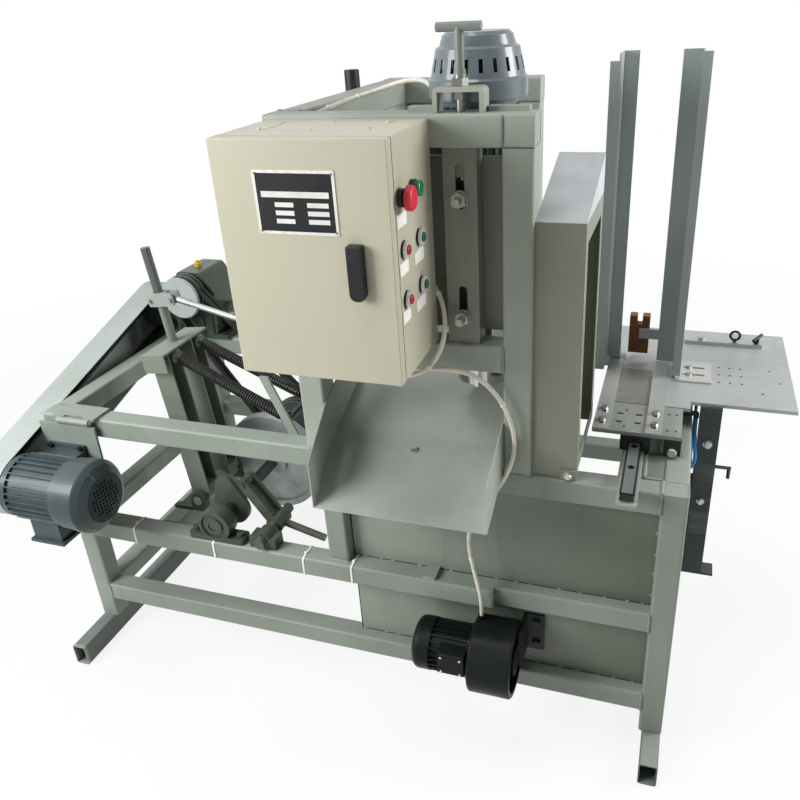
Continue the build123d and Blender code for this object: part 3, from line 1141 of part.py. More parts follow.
gear_body += fillet(gear_box.edges().filter_by(Axis.X), 6)
gear_cowl = rod((gear_cowl_left, gear_axis_y, gear_z), (gear_cowl_left + 41, gear_axis_y, gear_z), 58)
gear_cowl = fillet(gear_cowl.edges().sort_by(Axis.X)[0], 16)
put("gear_motor", case, gear_body, gear_cowl)
gear_bracket = block(gear_case_right, gear_case_right + 8, gear_axis_y + 20, panel_y, gear_z - 40, gear_z + 60)
gear_bracket += block(gear_case_right, gear_case_right + 46, panel_y - 6, panel_y, gear_z - 40, gear_z + 60)
bracket_bolts = [bolt((gear_case_right + 29, panel_y - 6, gear_z + dz), (0, -1, 0), 10)[0] for dz in (-20, 40)]
frame_tubes.append(gear_bracket)
put("base_frame", *frame_tubes)
put("frame_bolts", *bracket_bolts, *foot_bolts)


def cord(name, size, points):
    # Tube of straight runs joined by arcs as large as the runs allow
    route = [Vector(x, front + y, z) for x, y, z in points]
    runs = [b - a for a, b in zip(route, route[1:])]
    radii = []
    for before, after in zip(runs, runs[1:]):
        half_turn = radians(before.get_angle(after)) / 2
        radii.append(0.45 * min(before.length, after.length) / tan(half_turn))
    path = FilletPolyline(*route, radius=radii)
    section = Plane(route[0], z_dir=runs[0]) * Circle(size / 2)
    tube = sweep(section, path=path)
    expected = pi * (size / 2) ** 2 * path.length
    print(name, "length", round(path.length), "least radius", round(min(radii)), "volume ratio", round(tube.volume / expected, 4))
    put(name, tube)


# Cables: window to cabinet, cabinet to gear motor, and over the open tower top; air hose loop
(left_gland_x, left_gland_y), (right_gland_x, right_gland_y) = gland_places
cord("spindle_cable", cable_size, (
    (box_mid, spindle_setback, 1280), (box_mid, spindle_setback, 1232), (box_mid - 12, 125, 1186), (205, 90, 1148),
    (214, 48, 1118), (250, 22, 1092), (284, -3, 1058), (297, -30, 1012), (286, -46, 962), (248, -56, 922),
    (left_gland_x, left_gland_y - front, 926), (left_gland_x, left_gland_y - front, 1003)))
cord("gear_motor_cable", cable_size, (
    (right_gland_x, right_gland_y - front, 1003), (right_gland_x, right_gland_y - front, 928), (290, -34, 934),
    (350, -24, 922), (398, -20, 872), (422, -16, 800), (418, -14, 735), (388, -22, 668), (345, -24, 610),
    (322, -24, 545), (332, -26, 475), (345, -32, 425), (gland_x, gear_y + 20, 392),
    (gland_x, gear_y + 20, gland_top)))
cord("roof_cable", cable_size, (
    (23, tower_tube, 1372), (23, 110, 1372), (21, 165, 1375), (26, 215, 1379), (56, 247, 1386), (95, 257, 1398),
    (132, 250, 1409), (166, 232, 1415), (197, 207, 1416), (223, 182, 1406), (box_mid, spindle_setback + 16, 1382),
    (box_mid, spindle_setback + 16, 1346)))
cord("air_hose", hose_size, (
    (elbow_x, cyl_y0 + 12 - front, elbow_z), (elbow_x, cyl_y0 + 12 - front, 674), (759, 284, 650), (764, 263, 622),
    (elbow_x, 276, 590), (elbow_x - 1, 308, 577), (elbow_x - 1, 340, 588), (elbow_x - 1, 362, 620),
    (elbow_x, cyl_y0 + 72 - front, 660), (elbow_x, cyl_y0 + 72 - front, elbow_z)))

print("nodes", len(solids_made))
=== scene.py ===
from itertools import product
import bpy
import numpy as np
from mathutils import Matrix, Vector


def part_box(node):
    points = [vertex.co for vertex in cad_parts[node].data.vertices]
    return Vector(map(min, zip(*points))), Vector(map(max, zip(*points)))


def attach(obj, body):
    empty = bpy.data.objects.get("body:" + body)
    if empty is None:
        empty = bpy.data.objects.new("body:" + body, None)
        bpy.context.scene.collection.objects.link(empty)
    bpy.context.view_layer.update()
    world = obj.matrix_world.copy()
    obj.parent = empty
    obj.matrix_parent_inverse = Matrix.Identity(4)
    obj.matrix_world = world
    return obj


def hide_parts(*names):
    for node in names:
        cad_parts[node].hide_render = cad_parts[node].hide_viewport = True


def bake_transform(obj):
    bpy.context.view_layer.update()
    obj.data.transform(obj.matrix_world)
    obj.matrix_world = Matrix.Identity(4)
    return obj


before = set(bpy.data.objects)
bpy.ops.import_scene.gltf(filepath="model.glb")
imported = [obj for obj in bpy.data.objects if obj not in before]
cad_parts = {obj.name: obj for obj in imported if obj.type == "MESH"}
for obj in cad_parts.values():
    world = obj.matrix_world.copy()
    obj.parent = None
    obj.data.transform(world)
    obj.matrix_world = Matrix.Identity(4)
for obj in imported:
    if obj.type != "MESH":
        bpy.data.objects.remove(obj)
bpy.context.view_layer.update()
scene = bpy.context.scene
scene.view_settings.view_transform = "Standard"
print("frame loaded with", len(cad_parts), "nodes")

frontY = -0.350  # the base's front face in the shared frame
up, toFront, toRight, toLeft = (0, 0, 1), (0, -1, 0), (1, 0, 0), (-1, 0, 0)
upRight, upLeft = (0.7, 0, 0.7), (-0.7, 0, 0.7)


def mm(x, y, z):
    # Millimetres with y counted from the base's front, as metres in the shared frame
    return np.array([x * 0.001, frontY + y * 0.001, z * 0.001])


def tint(color):
    # A screen colour from 0 to 255 as the linear colour a shader takes
    screen = np.array(color) / 255
    linear = np.where(screen <= 0.04045, screen / 12.92, ((screen + 0.055) / 1.055) ** 2.4)
    return (*linear.tolist(), 1.0)


cameraSet = {
    "lens": 34.695, "sensor": 36.0, "near": 0.05,
    "shift": (-0.04, -0.02625),
    "place": (0.6905, -1.620, 1.550),
    "right": (0.95190367, 0.30288844, -0.04623857),
    "down": (0.09409819, -0.43260998, -0.8966572),
    "forward": (-0.29159036, 0.84918031, -0.44030428),
}


def addCamera():
    data = bpy.data.cameras.new("photoCamera")
    data.lens = cameraSet["lens"]
    data.sensor_width = cameraSet["sensor"]
    data.shift_x, data.shift_y = cameraSet["shift"]
    data.clip_start = cameraSet["near"]
    axes = [cameraSet["right"], [-v for v in cameraSet["down"]], [-v for v in cameraSet["forward"]]]
    turn = Matrix(axes).transposed().to_4x4()
    camera = bpy.data.objects.new("photoCamera", data)
    camera.matrix_world = Matrix.Translation(cameraSet["place"]) @ turn
    scene.collection.objects.link(camera)
    scene.camera = camera


addCamera()
print("camera set")


def feed(tree, sockets, values):
    # Each named socket takes its value, or a link where the value is another node's output
    for key, value in values.items():
        if isinstance(value, bpy.types.NodeSocket):
            tree.links.new(value, sockets[key])
        else:
            sockets[key].default_value = value


def wire(tree, kind, values=None, **settings):
    # One shader node with its properties and inputs set
    made = tree.nodes.new(kind)
    for key, value in settings.items():
        setattr(made, key, value)
    feed(tree, made.inputs, values or {})
    return made


def calc(tree, operation, first, second=0.0, clamp=False):
    made = wire(tree, "ShaderNodeMath", {0: first, 1: second}, operation=operation, use_clamp=clamp)
    return made.outputs[0]


def remap(tree, value, low, high, start=0.0, stop=1.0):
    ends = {"Value": value, "From Min": start, "From Max": stop, "To Min": low, "To Max": high}
    return wire(tree, "ShaderNodeMapRange", ends).outputs[0]


def mixColor(tree, factor, first, second, mode="MIX"):
    ends = {0: factor, 6: first, 7: second}
    return wire(tree, "ShaderNodeMix", ends, data_type="RGBA", blend_type=mode).outputs[2]


def mixValue(tree, factor, first, second):
    return wire(tree, "ShaderNodeMix", {0: factor, 2: first, 3: second}).outputs[0]


def shaded(tree, color, share):
    # A colour times one share for each of red, green and blue
    return mixColor(tree, 1.0, color, (*share, 1.0), "MULTIPLY")


def noise(tree, coords, scale, detail=3.0, stretch=None):
    if stretch is not None:
        coords = wire(tree, "ShaderNodeMapping", {"Vector": coords, "Scale": stretch}).outputs[0]
    return wire(tree, "ShaderNodeTexNoise", {"Vector": coords, "Scale": scale, "Detail": detail}).outputs[0]


def components(tree, vector):
    return wire(tree, "ShaderNodeSeparateXYZ", {0: vector}).outputs


def objectPoint(tree):
    return tree.nodes.new("ShaderNodeTexCoord").outputs["Object"]


def newGroup(name, inputs, outputs):
    # A shared effect: its sockets by name and kind
    tree = bpy.data.node_groups.new(name, "ShaderNodeTree")
    for way, sockets in (("INPUT", inputs), ("OUTPUT", outputs)):
        for label, kind in sockets.items():
            tree.interface.new_socket(label, in_out=way, socket_type="NodeSocket" + kind)
    given = tree.nodes.new("NodeGroupInput").outputs
    taken = tree.nodes.new("NodeGroupOutput").inputs
    return tree, given, taken, objectPoint(tree)


def makeSkin(name, build, inputs):
    # A surface effect: a base colour and roughness besides its own inputs, and always the same three outputs
    inputs = {"Color": "Color", **inputs, "Base Roughness": "Float"}
    outputs = {"Color": "Color", "Roughness": "Float", "Height": "Float"}
    tree, given, taken, coords = newGroup(name, inputs, outputs)
    color, rough, height = build(tree, given, coords)
    feed(tree, taken, {"Color": color, "Roughness": rough, "Height": height})


def upward(tree):
    # 1 on faces that look up, where dust settles
    normal = wire(tree, "ShaderNodeNewGeometry").outputs["Normal"]
    return remap(tree, components(tree, normal)["Z"], 0.0, 1.0, 0.55, 0.95)


def sprayedPaint(tree, given, coords):
    # Satin machine paint: cloudy tone, faint runs down the faces, settled dust and orange peel
    cloud = noise(tree, coords, 4.0, 5.0)
    peel = noise(tree, coords, 420.0, 2.0)
    runs = noise(tree, coords, 1.0, 4.0, (38.0, 38.0, 2.6))
    specks = noise(tree, coords, 170.0, 1.0)
    darker = shaded(tree, given["Color"], (0.72, 0.73, 0.70))
    shade = calc(tree, "MULTIPLY", remap(tree, cloud, 0.0, 1.0, 0.38, 0.66), given["Mottle"], True)
    color = mixColor(tree, shade, given["Color"], darker)
    runMask = calc(tree, "MULTIPLY", remap(tree, runs, 0.0, 0.5, 0.52, 0.74), given["Mottle"], True)
    color = mixColor(tree, runMask, color, darker)
    dustMask = calc(tree, "MULTIPLY", upward(tree), given["Dust"])
    dustMask = calc(tree, "MULTIPLY", dustMask, remap(tree, cloud, 0.35, 1.0, 0.35, 0.65), True)
    color = mixColor(tree, dustMask, color, given["Dust Color"])
    color = mixColor(tree, remap(tree, specks, 0.0, 0.35, 0.72, 0.80), color, darker)
    rough = calc(tree, "ADD", given["Base Roughness"], remap(tree, cloud, -0.07, 0.09, 0.3, 0.7))
    rough = calc(tree, "ADD", rough, calc(tree, "MULTIPLY", dustMask, 0.22), True)
    height = calc(tree, "ADD", calc(tree, "MULTIPLY", peel, 0.35), calc(tree, "MULTIPLY", cloud, 0.65))
    return color, rough, height


def groundSteel(tree, given, coords):
    # Bare machined steel: fine lines one way, cloudy oil stains, a few rubbed patches
    lines = noise(tree, coords, 1.0, 6.0, given["Stretch"])
    stain = noise(tree, coords, 9.0, 6.0)
    rub = noise(tree, coords, 3.5, 3.0)
    darker = shaded(tree, given["Color"], (0.55, 0.55, 0.53))
    color = mixColor(tree, remap(tree, lines, 0.0, given["Lines"], 0.35, 0.75), given["Color"], darker)
    stained = calc(tree, "MULTIPLY", remap(tree, stain, 0.0, 1.0, 0.52, 0.72), given["Stain"], True)
    color = mixColor(tree, stained, color, darker)
    rough = calc(tree, "ADD", given["Base Roughness"], remap(tree, lines, -0.08, 0.12, 0.3, 0.7))
    rough = calc(tree, "ADD", rough, remap(tree, rub, -0.06, 0.10, 0.35, 0.65), True)
    height = calc(tree, "ADD", lines, calc(tree, "MULTIPLY", stain, 0.2))
    return color, rough, height


def castSkin(tree, given, coords):
    # Painted casting: sandy grain, small pits, oil and dust in patches
    sand = noise(tree, coords, 620.0, 3.0)
    cloud = noise(tree, coords, 14.0, 5.0)
    pits = wire(tree, "ShaderNodeTexVoronoi", {"Vector": coords, "Scale": 260.0}).outputs["Distance"]
    oily = calc(tree, "MULTIPLY", remap(tree, cloud, 0.0, 1.0, 0.42, 0.7), given["Oil"], True)
    color = mixColor(tree, oily, given["Color"], given["Oil Color"])
    dusty = calc(tree, "MULTIPLY", upward(tree), remap(tree, cloud, 0.35, 0.0, 0.35, 0.7))
    color = mixColor(tree, dusty, color, shaded(tree, given["Color"], (1.5, 1.5, 1.45)))
    rough = calc(tree, "ADD", given["Base Roughness"], remap(tree, cloud, 0.10, -0.12, 0.3, 0.7), True)
    height = calc(tree, "ADD", sand, calc(tree, "MULTIPLY", remap(tree, pits, 0.0, 1.0, 0.05, 0.35), 0.6))
    return color, rough, height


def mouldedPlastic(tree, given, coords):
    # Plastic, rubber and cable jacket: fine matt grain and a slow change of tone
    grain = noise(tree, coords, given["Grain"], 2.0)
    cloud = noise(tree, coords, 25.0, 4.0)
    darker = shaded(tree, given["Color"], (0.74, 0.74, 0.74))
    color = mixColor(tree, remap(tree, cloud, 0.0, 0.8, 0.4, 0.75), given["Color"], darker)
    rough = calc(tree, "ADD", given["Base Roughness"], remap(tree, cloud, -0.06, 0.10, 0.3, 0.7), True)
    return color, rough, grain


def pressedBoard(tree, given, coords):
    # Pressed board: thin layers across Y with a slow wander, and a resin mottle
    layers = noise(tree, coords, 1.0, 3.0, (30.0, 900.0, 30.0))
    cloud = noise(tree, coords, 60.0, 5.0)
    color = mixColor(tree, remap(tree, layers, 0.0, 0.8, 0.4, 0.65), given["Color"], given["Layer Color"])
    color = mixColor(tree, remap(tree, cloud, 0.0, 0.5, 0.5, 0.75), color, given["Layer Color"])
    rough = calc(tree, "ADD", given["Base Roughness"], remap(tree, cloud, -0.05, 0.10, 0.3, 0.7), True)
    return color, rough, layers


def makeZoneMask():
    # Mask of a box in the shared frame: 1 inside its two corners, 0 outside
    tree, given, taken, coords = newGroup("zoneMask", {"Low": "Vector", "High": "Vector"}, {"Mask": "Float"})
    point, low, high = (components(tree, vector) for vector in (coords, given["Low"], given["High"]))
    mask = 1.0
    for axis in range(3):
        above = calc(tree, "GREATER_THAN", point[axis], low[axis])
        below = calc(tree, "LESS_THAN", point[axis], high[axis])
        mask = calc(tree, "MULTIPLY", mask, calc(tree, "MULTIPLY", above, below))
    feed(tree, taken, {"Mask": mask})


makeSkin("sprayedPaint", sprayedPaint, {"Dust Color": "Color", "Mottle": "Float", "Dust": "Float"})
makeSkin("groundSteel", groundSteel, {"Stretch": "Vector", "Lines": "Float", "Stain": "Float"})
makeSkin("castSkin", castSkin, {"Oil Color": "Color", "Oil": "Float"})
makeSkin("mouldedPlastic", mouldedPlastic, {"Grain": "Float"})
makeSkin("pressedBoard", pressedBoard, {"Layer Color": "Color"})
makeZoneMask()
print("shared effects made:", len(bpy.data.node_groups))


def placeGroup(tree, name, values):
    return wire(tree, "ShaderNodeGroup", values, node_tree=bpy.data.node_groups[name]).outputs


def layerMask(tree, layer):
    # Where a layer lies: coming in slowly along X, or inside any of its boxes
    if "fade" in layer:
        return remap(tree, components(tree, objectPoint(tree))["X"], 0.0, 1.0, *layer["fade"])
    mask = 0.0
    for box in layer["zones"]:
        mask = calc(tree, "MAXIMUM", mask, placeGroup(tree, "zoneMask", box)["Mask"])
    return mask


def dress(node, material):
    if not node.material_slots:
        node.data.materials.append(material)
    for spot in node.material_slots:
        spot.material = material


def finish(name, layers, nodes=(), bump=0.15, depth=0.0006, coat=0.0, threads=None, shine=0.3):
    # The first layer lies everywhere, the others over it where their masks are 1
    material = bpy.data.materials.new(name)
    material.use_nodes = True
    tree = material.node_tree
    ground, *above = layers
    made = placeGroup(tree, ground["group"], ground["values"])
    color, rough, height, metal = made["Color"], made["Roughness"], made["Height"], ground["metal"]
    mixedMetal = any(layer["metal"] != metal for layer in above)
    for layer in above:
        made = placeGroup(tree, layer["group"], layer["values"])
        mask = layerMask(tree, layer)
        color = mixColor(tree, mask, color, made["Color"])
        rough = mixValue(tree, mask, rough, made["Roughness"])
        height = mixValue(tree, mask, height, made["Height"])
        if mixedMetal:
            metal = mixValue(tree, mask, metal, layer["metal"])
    if threads:
        along = components(tree, objectPoint(tree))[threads["axis"]]
        turns = calc(tree, "PINGPONG", calc(tree, "MULTIPLY", along, 2.0 / threads["pitch"]), 1.0)
        height = calc(tree, "ADD", calc(tree, "MULTIPLY", height, 0.2), turns)
    relief = wire(tree, "ShaderNodeBump", {"Strength": bump, "Distance": depth, "Height": height}).outputs[0]
    feed(tree, tree.nodes["Principled BSDF"].inputs, {
        "Base Color": color, "Roughness": rough, "Metallic": metal, "Normal": relief,
        "Specular IOR Level": shine, "Coat Weight": coat, "Coat Roughness": 0.12})
    for node in nodes:
        dress(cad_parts[node], material)
    return material


paintSet = {
    "frame": (137, 146, 136),
    "panel": (150, 158, 148),
    "cabinet": (184, 181, 160),
    "dust": (152, 158, 150),
    "slate": (96, 107, 113),
    "slateDark": (56, 70, 74),
    "column": (62, 70, 70),
    "castGrey": (68, 75, 64),
    "castGreen": (62, 76, 61),
    "wheelIron": (86, 90, 90),
    "black": (22, 26, 26),
    "oil": (34, 36, 32),
    "brightSteel": (196, 197, 194),
    "satinSteel": (176, 177, 171),
    "zincSteel": (186, 187, 184),
    "darkSteel": (72, 75, 76),
    "chromeSteel": (206, 209, 210),
    "blackPlastic": (24, 27, 29),
}
evenGrain = (60, 60, 60)  # steel whose fine lines run no way in particular
edgeRoom = 0.0002  # a zone is grown by this hair, so that faces on its edge count


def layerOf(group, color, rough, values, metal=0.0):
    values = {"Color": tint(color), "Base Roughness": rough, **values}
    return {"group": group, "values": values, "metal": metal}


def paint(color, mottle=0.55, dust=0.45, rough=0.42, dustColor=paintSet["dust"]):
    values = {"Dust Color": tint(dustColor), "Mottle": mottle, "Dust": dust}
    return layerOf("sprayedPaint", color, rough, values)


def steel(color, grain=evenGrain, stain=0.4, rough=0.32, metal=1.0, lines=0.55):
    return layerOf("groundSteel", color, rough, {"Stretch": grain, "Lines": lines, "Stain": stain}, metal)


def cast(color, oil=0.6, rough=0.5, oilColor=paintSet["oil"]):
    return layerOf("castSkin", color, rough, {"Oil Color": tint(oilColor), "Oil": oil})


def plastic(color, grain=900.0, rough=0.38):
    return layerOf("mouldedPlastic", color, rough, {"Grain": grain})


def board(color, layerColor, rough):
    return layerOf("pressedBoard", color, rough, {"Layer Color": tint(layerColor)})


def zone(low, high):
    return {"Low": (mm(*low) - edgeRoom).tolist(), "High": (mm(*high) + edgeRoom).tolist()}


def on(layer, *boxes):
    # A layer that lies only inside boxes, each given by two corners in millimetres
    return {**layer, "zones": [zone(*box) for box in boxes]}


def fading(layer, start, end):
    # A layer that comes in slowly from one x to another, in millimetres
    return {**layer, "fade": (start * 0.001, end * 0.001)}


def coats(*layers, **look):
    # A finish: its layers, the nodes that wear it and how it takes the light
    return {"layers": layers, **look}


plateSet = {
    "front": -230, "back": -190, "border": 5, "titleSide": 12, "titleTop": 33, "titleFoot": 42,
    "rows": 3, "rowFoot": 57, "rowPitch": 13, "rowHeight": 7, "leftField": (34, 32), "rightField": (50, 36),
    "screw": 8, "screwBack": -202, "screwEdge": 1,
}


def plateCoats():
    # Bare nameplate: black field, bright border and blank fields, laid out from the plate's own corners
    low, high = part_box("nameplate")
    x0, x1, z0, z1 = low[0] * 1000, high[0] * 1000, low[2] * 1000, high[2] * 1000
    front, back, border = plateSet["front"], plateSet["back"], plateSet["border"]
    side, screw, edge = plateSet["titleSide"], plateSet["screw"], plateSet["screwEdge"]
    field = ((x0 + border, front, z0 + border), (x1 - border, back, z1 - border))
    blanks = [((x0 + side, front, z1 - plateSet["titleFoot"]), (x1 - side, back, z1 - plateSet["titleTop"]))]
    (leftIn, leftWide), (rightIn, rightWide) = plateSet["leftField"], plateSet["rightField"]
    for row in range(plateSet["rows"]):
        z = z1 - plateSet["rowFoot"] - plateSet["rowPitch"] * row
        for left, wide in ((x0 + leftIn, leftWide), (x1 - rightIn, rightWide)):
            blanks.append(((left, front, z), (left + wide, back, z + plateSet["rowHeight"])))
    corners = [((x, front, z), (x + screw, plateSet["screwBack"], z + screw))
               for x, z in product((x0 + edge, x1 - edge - screw), (z0 + edge, z1 - edge - screw))]
    return coats(
        steel((222, 222, 216), (90, 90, 3), stain=0.2, rough=0.4, metal=0.3),
        on(plastic((22, 25, 28), 700, rough=0.3), field),
        on(plastic((226, 226, 220), 700, rough=0.4), *blanks),
        on(steel((120, 120, 116), stain=0.3, rough=0.3), *corners), bump=0.05, nodes=["nameplate"])


